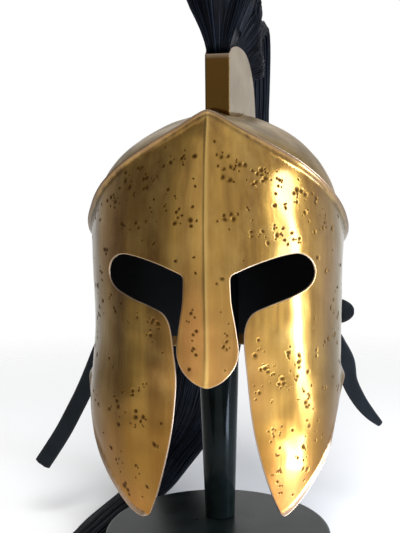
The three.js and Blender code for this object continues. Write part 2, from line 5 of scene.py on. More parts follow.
import bpy
import numpy as np
from mathutils import Matrix, Quaternion, Vector, geometry, noise
from mathutils.bvhtree import BVHTree
from mathutils.kdtree import KDTree


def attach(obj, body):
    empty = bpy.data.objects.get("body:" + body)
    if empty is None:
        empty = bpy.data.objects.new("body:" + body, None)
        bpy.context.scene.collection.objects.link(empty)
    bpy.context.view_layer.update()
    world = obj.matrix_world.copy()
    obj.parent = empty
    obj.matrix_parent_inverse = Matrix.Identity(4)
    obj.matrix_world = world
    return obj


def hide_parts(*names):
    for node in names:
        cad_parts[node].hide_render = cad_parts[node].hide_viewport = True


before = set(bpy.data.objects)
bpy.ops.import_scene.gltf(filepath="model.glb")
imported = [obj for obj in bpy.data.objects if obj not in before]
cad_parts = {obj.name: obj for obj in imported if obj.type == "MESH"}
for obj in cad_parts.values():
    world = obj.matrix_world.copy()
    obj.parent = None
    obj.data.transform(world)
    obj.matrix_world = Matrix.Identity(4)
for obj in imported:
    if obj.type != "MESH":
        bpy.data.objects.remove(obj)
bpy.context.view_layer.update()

MM = 0.001
random.seed(7)


# Tables and smooth lines through them

def table(columns, *values):
    names = columns.split()
    return [dict(zip(names, row)) for row in values]


class Line:
    """A smooth line through two columns of a table."""

    def __init__(self, rows, key, value):
        self.key = np.array([row[key] for row in rows], float)
        self.value = np.array([row[value] for row in rows], float)
        self.slope = np.zeros(len(rows))
        self.slope[1:-1] = (self.value[2:] - self.value[:-2]) / (self.key[2:] - self.key[:-2])

    def __call__(self, at):
        at = np.clip(at, self.key[0], self.key[-1])
        i = np.clip(np.searchsorted(self.key, at) - 1, 0, len(self.key) - 2)
        span = self.key[i + 1] - self.key[i]
        t = (at - self.key[i]) / span
        t2, t3 = t * t, t * t * t
        ends = (2 * t3 - 3 * t2 + 1) * self.value[i] + (3 * t2 - 2 * t3) * self.value[i + 1]
        slopes = (t3 - 2 * t2 + t) * self.slope[i] + (t3 - t2) * self.slope[i + 1]
        return ends + slopes * span


def column_lines(rows, columns, count):
    """Smooth lines through columns of a table, at evenly spaced places from its first row to its last."""
    at = np.linspace(0, len(rows) - 1, count)
    keyed = [{**row, "k": k} for k, row in enumerate(rows)]
    return [Line(keyed, "k", column)(at) for column in columns]


def smoothstep(at, low, high):
    t = np.clip((at - low) / (high - low), 0, 1)
    return t * t * (3 - 2 * t)


# The helmet's driving sizes, in millimetres, as in the frame

AXIS_Y = 34
SHEET = 2
GAP = 0.3  # between pieces that lie on each other
KEEL_REACH = 0.55
LIP_TURN = 4.8
LIP_DEPTH = 7
RIM_TURN = 3.5
RIM_DEPTH = 14
RIM_BEARINGS = (78, 88)  # the rim turns out behind these
CROWN_Z = 390.5
CROWN_X = 4.5
CROWN_ROUNDNESS = 1.12
CROWN_FRONT_FALL = 0.7
DOME_GAP = 1.3
DOME_OVERLAP = 5
CHEEK_SHIFT = 3
CHEEK_SHIFT_FROM = 215
CHEEK_SHIFT_TO = 170

SECTIONS = table(
    "z half shift widest front back keel",
    (50, 99.5, -1.5, -34, 118, 108, 8),
    (100, 107.2, -1.8, -34, 124, 112, 9),
    (145, 110, -2, -28, 127, 117, 10),
    (200, 109.5, 0, -14, 130, 123, 11),
    (250, 111, 0, -4, 131, 127, 10),
    (290, 112.5, 0, 0, 129.5, 129, 9),
    (330, 108, 0, 0, 123, 128, 8),
    (360, 99, 0, 0, 113, 120, 7),
    (390, 87, 0, 0, 99, 105, 6),
)
LIP = table(
    "bearing z",
    (0, 384), (6, 380), (14, 371.5), (26, 359.5), (40, 346), (54, 329.5), (66, 313.5),
    (78, 298), (90, 284), (105, 270), (125, 257), (150, 248.5), (180, 245.5),
)
RIM = table(
    "bearing z",
    (0, 66), (24, 60), (33, 55.5), (42, 62), (52, 79), (60, 96), (68, 113),
    (75, 130), (80, 144), (84.5, 155), (91, 160.5), (102, 161.5), (140, 160), (180, 159),
)
NASAL = table(
    "x z",
    (0, 168.5), (11, 173), (20.5, 183), (24.3, 196), (22.3, 215), (19, 236), (18.2, 256),
)
EYE_AND_CHEEK = table(
    "x z",
    (18.2, 256), (38, 264), (58, 269.5), (72, 270.5), (81.5, 263.5), (83.8, 253),
    (78, 243.5), (64, 237), (46, 231), (34, 225.5), (28.5, 214), (27.3, 195),
    (27.8, 170), (31.5, 135), (38, 105), (45.5, 78), (53, 58), (57, 45),
)

half_of, shift_of, widest_of, front_of, back_of, keel_of = (
    Line(SECTIONS, "z", column) for column in ("half", "shift", "widest", "front", "back", "keel")
)
lip_line = Line(LIP, "bearing", "z")
rim_line = Line(RIM, "bearing", "z")


def lip_z(bearing):
    return lip_line(np.abs(bearing))


def rim_z(bearing):
    return rim_line(np.abs(bearing))


def wall(bearing, z, out):
    """Points of the wall at bearings in degrees and heights, moved out."""
    bearing, z, out = np.broadcast_arrays(bearing, np.asarray(z, float), out)
    s = np.sin(np.radians(bearing))
    c = np.cos(np.radians(bearing))
    widest = widest_of(z)
    keel = keel_of(z)
    ridge = keel * np.maximum(0, 1 - np.abs(s) / KEEL_REACH) ** 1.5
    ahead = widest - (front_of(z) + out + widest - keel) * c - ridge
    behind = widest - (back_of(z) + out - widest) * c
    y = np.where(c > 0, ahead, behind)
    return np.stack([(half_of(z) + out) * s + shift_of(z), AXIS_Y + y, z], -1)


def flare(bearing, z):
    """How far the brow lip and the neck guard's rim turn out of the wall."""
    lip = LIP_TURN * np.maximum(0, 1 - (lip_z(bearing) - z) / LIP_DEPTH) ** 1.5
    behind = smoothstep(np.abs(bearing), *RIM_BEARINGS)
    rim = RIM_TURN * behind * np.maximum(0, 1 - (z - rim_z(bearing)) / RIM_DEPTH) ** 2
    return lip + rim


def waves(points, *layers):
    """Slow unevenness of hand work, from layers of size, height and seed."""
    total = np.zeros(len(points))
    for size, height, seed in layers:
        total = total + np.array([noise.noise(Vector(p)) for p in points / size + seed]) * height
    return total


# Meshes

def add_piece(name, points, faces, material, node, values=None):
    """A smooth mesh from points in millimetres, which rides on the frame in place of a node."""
    mesh = bpy.data.meshes.new(name)
    mesh.from_pydata((np.asarray(points, float) * MM).tolist(), [], faces)
    for key, numbers in (values or {}).items():
        attribute = mesh.attributes.new(key, "FLOAT", "POINT")
        attribute.data.foreach_set("value", np.asarray(numbers, np.float32))
    mesh.polygons.foreach_set("use_smooth", [True] * len(mesh.polygons))
    mesh.materials.append(material)
    mesh.update()
    piece = bpy.data.objects.new(name, mesh)
    bpy.context.scene.collection.objects.link(piece)
    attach(piece, "root")
    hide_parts(node)


def weld(points, faces, values, reach=1e-4):
    """Joins the points that lie in one place, and drops those that no face uses."""
    points = np.asarray(points, float)
    keys = np.round(points / reach).astype(np.int64)
    _, first, inverse = np.unique(keys, axis=0, return_index=True, return_inverse=True)
    inverse = inverse.reshape(-1)
    faces = inverse[np.asarray(faces)]
    sound = (faces[:, 0] != faces[:, 1]) & (faces[:, 1] != faces[:, 2]) & (faces[:, 2] != faces[:, 0])
    faces = faces[sound]
    used, compact = np.unique(faces, return_inverse=True)
    kept = first[used]
    values = {key: np.asarray(numbers)[kept] for key, numbers in values.items()}
    return points[kept], compact.reshape(-1, 3).tolist(), values


def grid_faces(rows, columns):
    """Four-sided faces between closed rows of points, counted row by row."""
    faces = []
    for i in range(rows - 1):
        for j in range(columns):
            low, high, k = i * columns, (i + 1) * columns, (j + 1) % columns
            faces.append((low + j, low + k, high + k, high + j))
    return faces


def body_faces(rows, around):
    """Faces of a body from closed rows of points, with one face on each end."""
    last = (rows - 1) * around
    ends = [tuple(range(around))[::-1], tuple(last + j for j in range(around))]
    return grid_faces(rows, around) + ends


# The main sheet, drawn flat in bearing and height and then bent onto the wall

ARC = 1.95  # millimetres of wall to a degree of bearing
SEAM = 180 * ARC
SEAM_NEAR = 0.01
SEAM_POINTS = 36
NEAR_STEP = 0.3  # between the edge's points that distances are taken to
EDGE_STEP = 1.5
EDGE_ROUND = SHEET / 2
EDGE_RINGS = (0.15, 0.5, 1.0, 2.0)
EDGE_CLEAR = 2.9
EYE_STEPS = 400
NASAL_STEPS = 120
LIP_RINGS = (3.0, 4.0, 5.0, 6.2)
LIP_CLEAR = 7.2
OUTER_STEP = 2.2
INNER_STEP = 5.0
RIB_RISE = 0.5
RIB_HALF_WIDTH = 2.8
RIB_LINES = (0.7, 1.4, 2.1, 2.8, 3.6, 4.4)
RIB_ZONE = 5.5
RIB_FOOT_Z = 168
RIB_HEIGHTS = np.arange(170, 383, 2.0)
BEAD_RISE = 0.4
BEAD_DEPTH = 1.4
FLANGE_RISE = 2.4
FLANGE_WIDE = 5.0
FLANGE_BEARING = 33
FLANGE_FADE = (60, 76)
# The flange's pale band is paler metal and partly a painted reflection
FLANGE_BEHIND = 0.35  # share of its colour that the neck guard's rim keeps
SHEET_WAVES = ((42, 0.9, 3.1), (17, 0.3, 8.7))


def spline(rows, count):
    """A smooth line through points x, z."""
    points = [Vector((row["x"], row["z"])) for row in rows]
    line = []
    for k in range(count + 1):
        at = (len(points) - 1) * k / count
        i = min(int(at), len(points) - 2)
        t = at - i
        before, a, b = points[max(i - 1, 0)], points[i], points[i + 1]
        after = points[min(i + 2, len(points) - 1)]
        v, w = (b - before) / 2, (after - a) / 2
        line.append((2 * a - 2 * b + v + w) * t ** 3 + (3 * b - 3 * a - 2 * v - w) * t ** 2 + v * t + a)
    return np.array(line)


def resample(line, step):
    line = np.asarray(line, float)
    run = np.concatenate([[0], np.cumsum(np.linalg.norm(np.diff(line, axis=0), axis=1))])
    count = max(2, round(run[-1] / step) + 1)
    at = np.linspace(0, run[-1], count)
    return np.stack([np.interp(at, run, line[:, k]) for k in range(line.shape[1])], -1)


def soften(line, times):
    line = line.copy()
    for _ in range(times):
        line[1:-1] = line[:-2] / 4 + line[1:-1] / 2 + line[2:] / 4
    return line


def flat(line):
    """From x and z, seen from the front, to the flat drawing."""
    x, z = line[:, 0], line[:, 1]
    reach = np.clip((x - shift_of(z)) / (half_of(z) - SHEET / 2), -1, 1)
    return np.stack([np.degrees(np.arcsin(reach)) * ARC, z], -1)


def face_edge(side):
    """One side of the face's opening, from the cheek's point round the eye to the nasal's tip."""
    cheek = spline(EYE_AND_CHEEK, EYE_STEPS)
    shift = CHEEK_SHIFT * (1 - smoothstep(cheek[:, 1], CHEEK_SHIFT_TO, CHEEK_SHIFT_FROM))
    cheek[:, 0] = side * cheek[:, 0] + shift
    nasal = spline(NASAL, NASAL_STEPS) * (side, 1)
    cheek = flat(cheek)
    above = cheek[:, 1] > rim_z(cheek[:, 0] / ARC)
    cheek = cheek[:np.argmin(above)] if not above.all() else cheek
    return np.concatenate([cheek[::-1], flat(nasal)[::-1][1:]])


def lower_edge():
    """The open line from the seam along the rim, round the face's opening and back to the seam."""
    right, left = face_edge(1), face_edge(-1)
    rim_right = [(b * ARC, rim_z(b)) for b in np.arange(180, right[0, 0] / ARC + 0.5, -1)]
    rim_left = [(b * ARC, rim_z(b)) for b in np.arange(-180, left[0, 0] / ARC - 0.5, 1)]
    whole = np.concatenate([rim_right, right, left[::-1][1:], rim_left[::-1]])
    return soften(resample(whole, EDGE_STEP), 3)


def edge_lines():
    lip = resample([(b * ARC, lip_z(b)) for b in np.arange(-180, 180.5, 0.5)], EDGE_STEP)
    return soften(lip, 2), lower_edge()


def flat_tree(points):
    tree = KDTree(len(points))
    for i, p in enumerate(points):
        tree.insert((p[0], p[1], 0), i)
    tree.balance()
    return tree


class Flat:
    """The flat drawing: its edge, and distances to it."""

    def __init__(self):
        self.lip, self.low = edge_lines()
        self.seam = np.linspace(self.low[0, 1], self.lip[-1, 1], SEAM_POINTS)[1:-1]
        near_lip = resample(self.lip, NEAR_STEP)
        self.lip_tree = flat_tree(near_lip)
        self.near = flat_tree(np.concatenate([near_lip, resample(self.low, NEAR_STEP)]))
        bearing = np.arange(FLANGE_BEARING, 181, 0.2)
        bearing = np.concatenate([-bearing, bearing])
        self.rim = flat_tree(np.stack([bearing * ARC, rim_z(bearing)], -1))

    def loop(self):
        """The closed outline, anticlockwise from the left end of the lower edge."""
        right = [(SEAM, z) for z in self.seam]
        left = [(-SEAM, z) for z in self.seam[::-1]]
        return np.concatenate([self.low[::-1], right, self.lip[::-1], left])

    def distance(self, points, tree=None):
        tree = tree or self.near
        return np.array([tree.find((p[0], p[1], 0))[2] for p in points])

    def flange(self, points):
        """The turned edge of the cheek pieces: how far it stands out, and where it is."""
        distance = self.distance(points, self.rim)
        ahead = 1 - smoothstep(np.abs(points[:, 0]) / ARC, *FLANGE_FADE)
        rise = FLANGE_RISE * np.maximum(0, 1 - distance / FLANGE_WIDE) ** 1.6
        # Where the flange's pale band lies: paler metal, partly a painted reflection
        place = 1 - smoothstep(distance, FLANGE_WIDE * 0.55, FLANGE_WIDE * 0.85)
        return rise * ahead, place * (FLANGE_BEHIND + (1 - FLANGE_BEHIND) * ahead)

    def rings(self):
        """Rows of points a little inside the edge, for its round."""
        found = []
        for line, depths in ((self.lip, EDGE_RINGS + LIP_RINGS), (self.low, EDGE_RINGS)):
            along = np.gradient(line, axis=0)
            along /= np.linalg.norm(along, axis=1)[:, None]
            normal = np.stack([along[:, 1], -along[:, 0]], -1)
            for depth in depths:
                ring = line + normal * depth
                clear = self.distance(ring) > depth * 0.9 - 0.02
                found.append(ring[clear & (np.abs(ring[:, 0]) < SEAM - 0.4)])
        return np.concatenate(found)

    def grid(self, step):
        rows = []
        z_low, z_high = self.low[:, 1].min(), self.lip[:, 1].max()
        for k, z in enumerate(np.arange(z_low, z_high, step * 0.866)):
            u = np.arange(-SEAM + step * (0.75 if k % 2 else 0.4), SEAM - step * 0.3, step)
            rows.append(np.stack([u, np.full(len(u), z)], -1))
        points = np.concatenate(rows)
        b = points[:, 0] / ARC
        points = points[(points[:, 1] < lip_z(b) - 1) & (points[:, 1] > rim_z(b) + 1)]
        below_lip = self.distance(points, self.lip_tree) > LIP_CLEAR
        return points[below_lip & (self.distance(points) > EDGE_CLEAR)]


def triangulate(outline, inner):
    """Triangles inside a closed outline, anticlockwise, with points inside it."""
    count = len(outline)
    points = [Vector(p) for p in np.concatenate([outline, inner])]
    edges = [(i, (i + 1) % count) for i in range(count)]
    found, _, faces, origin, _, _ = geometry.delaunay_2d_cdt(points, edges, [], 1, 1e-4)
    found = np.array([tuple(p) for p in found])
    on_edge = np.array([any(i < count for i in source) for source in origin])
    faces = np.array(faces)
    a, b, c = found[faces[:, 0]], found[faces[:, 1]], found[faces[:, 2]]
    area = (b[:, 0] - a[:, 0]) * (c[:, 1] - a[:, 1]) - (b[:, 1] - a[:, 1]) * (c[:, 0] - a[:, 0])
    faces[area < 0] = faces[area < 0][:, ::-1]
    return found, faces, on_edge


# Pits: clusters on the brow and the cheeks, and a thin scatter everywhere
PIT_CLUSTERS = table(
    "bearing z wide high count",
    (-14, 345, 16, 12, 16), (9, 338, 10, 14, 14), (-30, 328, 12, 13, 16), (24, 330, 11, 13, 16),
    (-46, 312, 9, 14, 14), (40, 312, 9, 12, 16), (52, 296, 7, 12, 12), (-12, 300, 12, 12, 16),
    (10, 298, 9, 10, 12), (27, 288, 8, 8, 14), (34, 280, 5, 6, 10), (-34, 292, 10, 10, 8),
    (-26, 216, 6, 10, 7), (-36, 155, 9, 26, 8), (-28, 138, 4, 12, 7), (-44, 100, 9, 16, 6),
    (-30, 88, 5, 12, 5), (24, 178, 5, 14, 12), (19, 158, 3, 20, 16), (36, 176, 6, 14, 14),
    (47, 160, 5, 18, 12), (30, 132, 7, 14, 8), (44, 104, 6, 16, 8), (30, 84, 5, 12, 8),
    (-64, 230, 10, 30, 10), (66, 224, 10, 34, 10), (-110, 220, 30, 26, 18), (108, 220, 30, 26, 18),
    (168, 200, 26, 24, 14), (-168, 206, 26, 24, 14), (-6, 205, 4, 50, 16), (6.5, 210, 4, 56, 16),
)
PIT_SCATTER = 210
PIT_FRONT = 84  # bearing that two thirds of the scatter keeps within
PIT_RADII = (0.7, 2.2)
PIT_STRETCH = 1.5
PIT_COMPANIONS = 0.4
PIT_AWAY = 2.3
PIT_APART = 0.9
PIT_DEEP = (0.3, 0.45)
PIT_LIP = 1.45  # radii out to which a pit's lip is lifted
PIT_LIFT = 0.15
PIT_STAIN = (0.5, 1.4)
PIT_RINGS = ((0.5, 6), (1.0, 9), (PIT_LIP, 9))
PIT_CLEAR = 0.4


def pit_list(drawing):
    """Pits clear of the edges and the rib: place, radius, depth, turn and stretch."""
    places = []
    for row in PIT_CLUSTERS:
        for _ in range(row["count"]):
            bearing = random.gauss(row["bearing"], row["wide"] / 2)
            places.append((bearing * ARC, random.gauss(row["z"], row["high"] / 2)))
    for k in range(PIT_SCATTER):
        reach = PIT_FRONT if k % 3 else 178
        bearing = random.uniform(-reach, reach)
        places.append((bearing * ARC, random.uniform(rim_z(bearing), lip_z(bearing))))
    low, high = PIT_RADII
    pits = []
    while places:
        u, z = places.pop(0)
        radius = low + (high - low) * random.random() ** 1.8
        stretch = random.uniform(1, PIT_STRETCH)
        bearing = u / ARC
        if not rim_z(bearing) + 6 < z < lip_z(bearing) - LIP_DEPTH - 2 or abs(u) > SEAM - 4:
            continue
        if abs(u) < RIB_ZONE + radius or drawing.near.find((u, z, 0))[2] < radius * 1.8 + EDGE_CLEAR:
            continue
        if any(math.hypot(u - p[0], z - p[1]) < PIT_APART * (radius + p[2]) for p in pits):
            continue
        turn = random.uniform(0, math.pi)
        pits.append((u, z, radius, radius * random.uniform(*PIT_DEEP), turn, stretch))
        if random.random() < PIT_COMPANIONS:
            way, away = random.uniform(0, math.tau), PIT_AWAY * radius
            places.insert(0, (u + away * math.cos(way), z + away * math.sin(way)))
    return pits


def pit_points(pits):
    points = []
    for u, z, radius, _, turn, stretch in pits:
        points.append((u, z))
        for share, count in PIT_RINGS:
            for k in range(count):
                a = math.tau * k / count
                along = radius * share * stretch * math.cos(a)
                across = radius * share * math.sin(a)
                points.append((
                    u + along * math.cos(turn) - across * math.sin(turn),
                    z + along * math.sin(turn) + across * math.cos(turn),
                ))
    return np.array(points)


def pit_depth(points, pits):
    """Depth and darkness that the pits give at each point."""
    near = flat_tree(pits)
    hollow = np.zeros(len(points))
    lifted = np.zeros(len(points))
    dark = np.zeros(len(points))
    for i, p in enumerate(points):
        for _, k, _ in near.find_range((p[0], p[1], 0), PIT_RADII[1] * PIT_STRETCH * 1.5):
            u, z, radius, depth, turn, stretch = pits[k]
            along = (p[0] - u) * math.cos(turn) + (p[1] - z) * math.sin(turn)
            across = (p[1] - z) * math.cos(turn) - (p[0] - u) * math.sin(turn)
            share = math.hypot(along / stretch, across) / radius
            if share < 1:
                hollow[i] = max(hollow[i], depth * (1 - share * share) ** 1.3)
            elif share < PIT_LIP:
                lift = math.sin(math.pi * (share - 1) / (PIT_LIP - 1))
                lifted[i] = max(lifted[i], depth * PIT_LIFT * lift)
            dark[i] = max(dark[i], 1 - float(smoothstep(share, *PIT_STAIN)))
    return np.where(hollow > 0, hollow, -lifted), dark


def rib_points(drawing):
    across = [0] + [side * u for u in RIB_LINES for side in (-1, 1)]
    points = np.array([(u, z) for u in across for z in RIB_HEIGHTS])
    return points[drawing.distance(points) > EDGE_CLEAR]


def rib_height(points):
    across = np.abs(points[:, 0])
    return RIB_RISE * (1 + np.cos(math.pi * np.clip(across / RIB_HALF_WIDTH, 0, 1))) / 2


def edge_round(distance):
    inside = np.clip(EDGE_ROUND - distance, 0, EDGE_ROUND)
    return EDGE_ROUND - np.sqrt(EDGE_ROUND ** 2 - inside ** 2)


# Places with more copper, or darker: bearing, height, half sizes and amount
COPPER_PATCHES = table(
    "bearing z wide high amount",
    (40, 62, 12, 30, 1.0), (30, 92, 7, 30, 0.45), (-7, 205, 6, 46, 0.55), (60, 250, 8, 50, 0.25),
    (22, 170, 5, 40, 0.3), (-40, 66, 12, 16, 0.35), (0, 205, 13, 44, 0.5), (-45, 280, 12, 40, 0.3),
)
DARK_PATCHES = table(
    "bearing z wide high amount",
    (-42, 190, 5, 95, 0.75), (-60, 110, 10, 40, 0.4), (-22, 250, 18, 14, 0.35), (-34, 330, 24, 14, 0.3),
    (20, 262, 20, 9, 0.3), (-6.5, 181, 3.5, 5, 0.5), (6, 205, 6, 45, 0.25), (150, 190, 40, 30, 0.4),
    (-150, 190, 40, 30, 0.4),
)


def patches(rows, points):
    total = np.zeros(len(points))
    for row in rows:
        across = (points[:, 0] / ARC - row["bearing"]) / row["wide"]
        up = (points[:, 1] - row["z"]) / row["high"]
        total += row["amount"] * np.exp(-across ** 2 - up ** 2)
    return np.clip(total, 0, 1)


# Bands of colour on the sheet, some of them painted light and shade: millimetres from an edge, bearings or
# heights
RELIEF_FADE = (0, 1.3)
# Pale edges: partly worn metal, partly painted highlight
EDGE_WEAR_AND_GLINT = (0.3, 1.1)
LIP_BAND = (1.8, 3.2)
# Painted shade: a dark band this far under the brow lip, and its width
LIP_SHADE_DEPTH = 4.0
LIP_SHADE_WIDE = 1.4
# Painted reflection: between these bearings the sides turn greyer and lighter, like a grazing reflection
SIDE_SHEEN_BEARINGS = (44, 78)
# Painted shade: the brass darkens below these heights
LOW_SHADE_HEIGHTS = (110, 205)
# Painted highlight: half width of the light line along the rib
RIB_SHINE = 1.7
INSIDE_SHADE = (0.6, 2.5)


def sheet_skin(drawing, inside):
    """One face of the sheet, from points inside its outline: the points and faces of the flat drawing,
    how far each point is from the edge and lies out of the wall, and where the flange is."""
    points, faces, on_edge = triangulate(drawing.loop(), inside)
    distance = drawing.distance(points)
    at_seam = np.abs(points[:, 0]) > SEAM - SEAM_NEAR
    distance[(on_edge & ~at_seam) | (at_seam & (distance < 2 * SEAM_NEAR))] = 0
    bearing, z = points[:, 0] / ARC, points[:, 1]
    turned = flare(bearing, z)
    flange, rim = drawing.flange(points)
    out = turned + flange + waves(wall(bearing, z, turned), *SHEET_WAVES)
    return points, faces, distance, out, rim


def main_sheet(material):
    drawing = Flat()
    rings = drawing.rings()
    pits = pit_list(drawing)
    grid = drawing.grid(OUTER_STEP)
    grid = grid[(np.abs(grid[:, 0]) > RIB_ZONE) | (grid[:, 1] < RIB_FOOT_Z)]
    near = flat_tree(pits)
    hits = [near.find((u, z, 0)) for u, z in grid]
    grid = grid[[gap > pits[k][2] * PIT_LIP * pits[k][5] + PIT_CLEAR for _, k, gap in hits]]
    inside = np.concatenate([rings, grid, rib_points(drawing), pit_points(pits)])
    points, faces, distance, out, rim = sheet_skin(drawing, inside)
    bearing, z = points[:, 0] / ARC, points[:, 1]
    under = drawing.distance(points, drawing.lip_tree)
    depth, dark = pit_depth(points, pits)
    relief = smoothstep(distance, *RELIEF_FADE)
    bead = BEAD_RISE * np.exp(-(under - BEAD_DEPTH) ** 2)
    out = out - edge_round(distance) + relief * (rib_height(points) + bead - depth)
    outer = wall(bearing, z, out)
    # Painted shade: a dark band under the brow lip, added to the darker patches
    lip_grime = np.exp(-((under - LIP_SHADE_DEPTH) / LIP_SHADE_WIDE) ** 2)
    values = {
        "pit": dark,
        # pale edges, partly worn metal and partly painted highlight
        "edge": 1 - smoothstep(distance, *EDGE_WEAR_AND_GLINT),
        "lip": 1 - smoothstep(under, *LIP_BAND),
        "grime": np.clip(patches(DARK_PATCHES, points) + lip_grime, 0, 1),
        "copper": patches(COPPER_PATCHES, points),
        # pale flange band, partly a painted reflection
        "rim": rim,
        # painted reflection on the sides
        "side": smoothstep(np.abs(bearing), *SIDE_SHEEN_BEARINGS),
        # painted highlight along the rib
        "rib": relief * np.exp(-(points[:, 0] / RIB_SHINE) ** 2),
        # painted shade, darker towards the bottom of the sheet
        "low": 1 - smoothstep(z, *LOW_SHADE_HEIGHTS),
    }

    inside = np.concatenate([rings, drawing.grid(INNER_STEP)])
    points, back_faces, distance, out, rim = sheet_skin(drawing, inside)
    inner = wall(points[:, 0] / ARC, points[:, 1], out - SHEET + edge_round(distance))
    within = smoothstep(distance, *INSIDE_SHADE)
    inner_values = dict.fromkeys(values, np.zeros(len(points)))
    inner_values.update(pit=within, grime=within, rim=rim * (1 - within))
    inner_values["edge"] = 1 - smoothstep(distance, *EDGE_WEAR_AND_GLINT)
    all_faces = np.concatenate([faces, back_faces[:, ::-1] + len(outer)])
    joined = {key: np.concatenate([values[key], inner_values[key]]) for key in values}
    points, faces, joined = weld(np.concatenate([outer, inner]), all_faces, joined)
    add_piece("face_sheet", points, faces, material, "face_shell", joined)


# The crown

DOME_COLUMNS = 180
DOME_ROWS = 40
DOME_FRONT = (25, 80)
DOME_WAVES = ((36, 0.8, 5.5), (12, 0.22, 1.9))


def dome_points(bearing, turn, out):
    foot = lip_z(bearing) - DOME_OVERLAP
    start = wall(bearing, foot, flare(bearing, foot) - SHEET - DOME_GAP)
    front = 1 - smoothstep(np.abs(bearing), *DOME_FRONT)
    c = np.maximum(np.cos(turn), 0) ** (CROWN_ROUNDNESS + CROWN_FRONT_FALL * front)
    x = start[..., 0] * c + CROWN_X * (1 - c)
    y = (start[..., 1] - AXIS_Y) * c
    z = foot + (CROWN_Z - foot) * np.sin(turn)
    radius = np.maximum(np.hypot(x, y), 1e-6)
    level = np.cos(turn) * out
    x, y = x + x / radius * level, AXIS_Y + y + y / radius * level
    return np.stack([x, y, z + np.sin(turn) * out], -1)


def dome_skin(out):
    turns = np.linspace(0, 1, DOME_ROWS, endpoint=False) * math.pi / 2
    bearings = np.linspace(-180, 180, DOME_COLUMNS, endpoint=False)
    b, t = np.meshgrid(bearings, turns)
    points = dome_points(b, t, out).reshape(-1, 3)
    return np.concatenate([points, [(CROWN_X, AXIS_Y, CROWN_Z + out)]])


def cap_faces(rows, columns, offset, flip):
    """Faces of a bowl turned over, with one point on top."""
    faces = [tuple(i + offset for i in face) for face in grid_faces(rows, columns)]
    top, last = rows * columns + offset, (rows - 1) * columns + offset
    faces += [(last + j, last + (j + 1) % columns, top) for j in range(columns)]
    return [face[::-1] for face in faces] if flip else faces


def bowl(name, outer, inner, rows, columns, material, node):
    """A turned-over bowl of sheet, from its outer and inner points, lowest row first."""
    count = len(outer)
    faces = cap_faces(rows, columns, 0, False) + cap_faces(rows, columns, count, True)
    foot = [(j, count + j, count + (j + 1) % columns, (j + 1) % columns) for j in range(columns)]
    add_piece(name, np.concatenate([outer, inner]), faces + foot, material, node)


def crown(material):
    outer, inner = dome_skin(0), dome_skin(-SHEET)
    outer = outer + (dome_skin(1) - outer) * waves(outer, *DOME_WAVES)[:, None]
    bowl("skull_sheet", outer, inner, DOME_ROWS, DOME_COLUMNS, material, "skull_dome")


# Lining

LINING = 2
LINING_GAP = 2.1
LINING_FRONT_Z = 296
LINING_BACK_Z = 172
LINING_SIDE = (54, 70)  # bearings between which it drops from the brow to the neck
LINING_TOP = 14
LINING_LEAST = 8
LINING_SIDE_ROWS = 16
LINING_DOME_ROWS = 20
LINING_COLUMNS = 144
LINING_PANELS = 12
LINING_SEAM = 0.8


def lining_skin(out):
    bearings = np.linspace(-180, 180, LINING_COLUMNS, endpoint=False)
    down = smoothstep(np.abs(bearings), *LINING_SIDE)
    top = lip_z(bearings) - LINING_TOP
    foot = np.minimum(LINING_FRONT_Z + (LINING_BACK_Z - LINING_FRONT_Z) * down, top - LINING_LEAST)
    seam = LINING_SEAM * (1 - np.abs(np.sin(np.radians(bearings * LINING_PANELS / 2))) ** 0.35)
    rows = [
        wall(bearings, foot + (top - foot) * k / LINING_SIDE_ROWS, out - seam)
        for k in range(LINING_SIDE_ROWS)
    ]
    for k in range(1, LINING_DOME_ROWS):
        turn = math.pi / 2 * k / LINING_DOME_ROWS
        rows.append(dome_points(bearings, turn, out - seam * math.cos(turn)))
    return np.concatenate([*rows, [(CROWN_X, AXIS_Y, CROWN_Z + out)]])


def lining(material):
    far = -SHEET - LINING_GAP
    outer, inner = lining_skin(far), lining_skin(far - LINING)
    rows = LINING_SIDE_ROWS + LINING_DOME_ROWS - 1
    bowl("lining_leather", outer, inner, rows, LINING_COLUMNS, material, "liner")


# The crest holder

CREST_FRONT_Y = -22
CREST_X = 4.5
CREST_TURN = math.radians(5)
CREST_WALL = 1.6
CREST = table(
    "back half top",
    (0, 10.3, 434), (12, 11, 440), (34, 12.6, 444.5), (60, 14.4, 445), (82, 15.6, 441),
    (100, 16.2, 433), (114, 16.4, 421), (124, 16.4, 407), (131, 16.3, 388), (137, 16.2, 358),
)
CREST_CORNER = 1.4
CREST_ROWS = 14
CREST_ROUND_STEPS = 6
CREST_FOOT_GAP = 0.15
CREST_MISS_Z = 330  # its foot where no crown lies under it
CREST_WAVE = (30, 0.5, 4.4)
CREST_FRONT_BAND = (0.3, 1.0)
CREST_WEAR = (0.4, 1.3)
ABOVE_ALL = 600
crest_half = Line(CREST, "back", "half")
crest_top = Line(CREST, "back", "top")


def crest_point(across, back, z):
    across, back, z = np.broadcast_arrays(across, back, np.asarray(z, float))
    return np.stack([
        CREST_X + across * math.cos(CREST_TURN) + back * math.sin(CREST_TURN),
        CREST_FRONT_Y - across * math.sin(CREST_TURN) + back * math.cos(CREST_TURN),
        z,
    ], -1)


def dome_surface():
    skin = dome_skin(0)
    return BVHTree.FromPolygons([Vector(p) for p in skin], cap_faces(DOME_ROWS, DOME_COLUMNS, 0, False))


def crest_plan():
    """Half of the holder's plan, from the middle of its front round a corner and along one side."""
    flat_half = float(crest_half(0)) - CREST_CORNER
    line = [(a, 0.0) for a in np.linspace(0, flat_half, 7)]
    for a in np.linspace(0, math.pi / 2, 6)[1:]:
        line.append((flat_half + CREST_CORNER * math.sin(a), CREST_CORNER * (1 - math.cos(a))))
    line += [(float(crest_half(b)), b) for b in np.linspace(4, CREST[-1]["back"], 60)]
    return np.array(line)


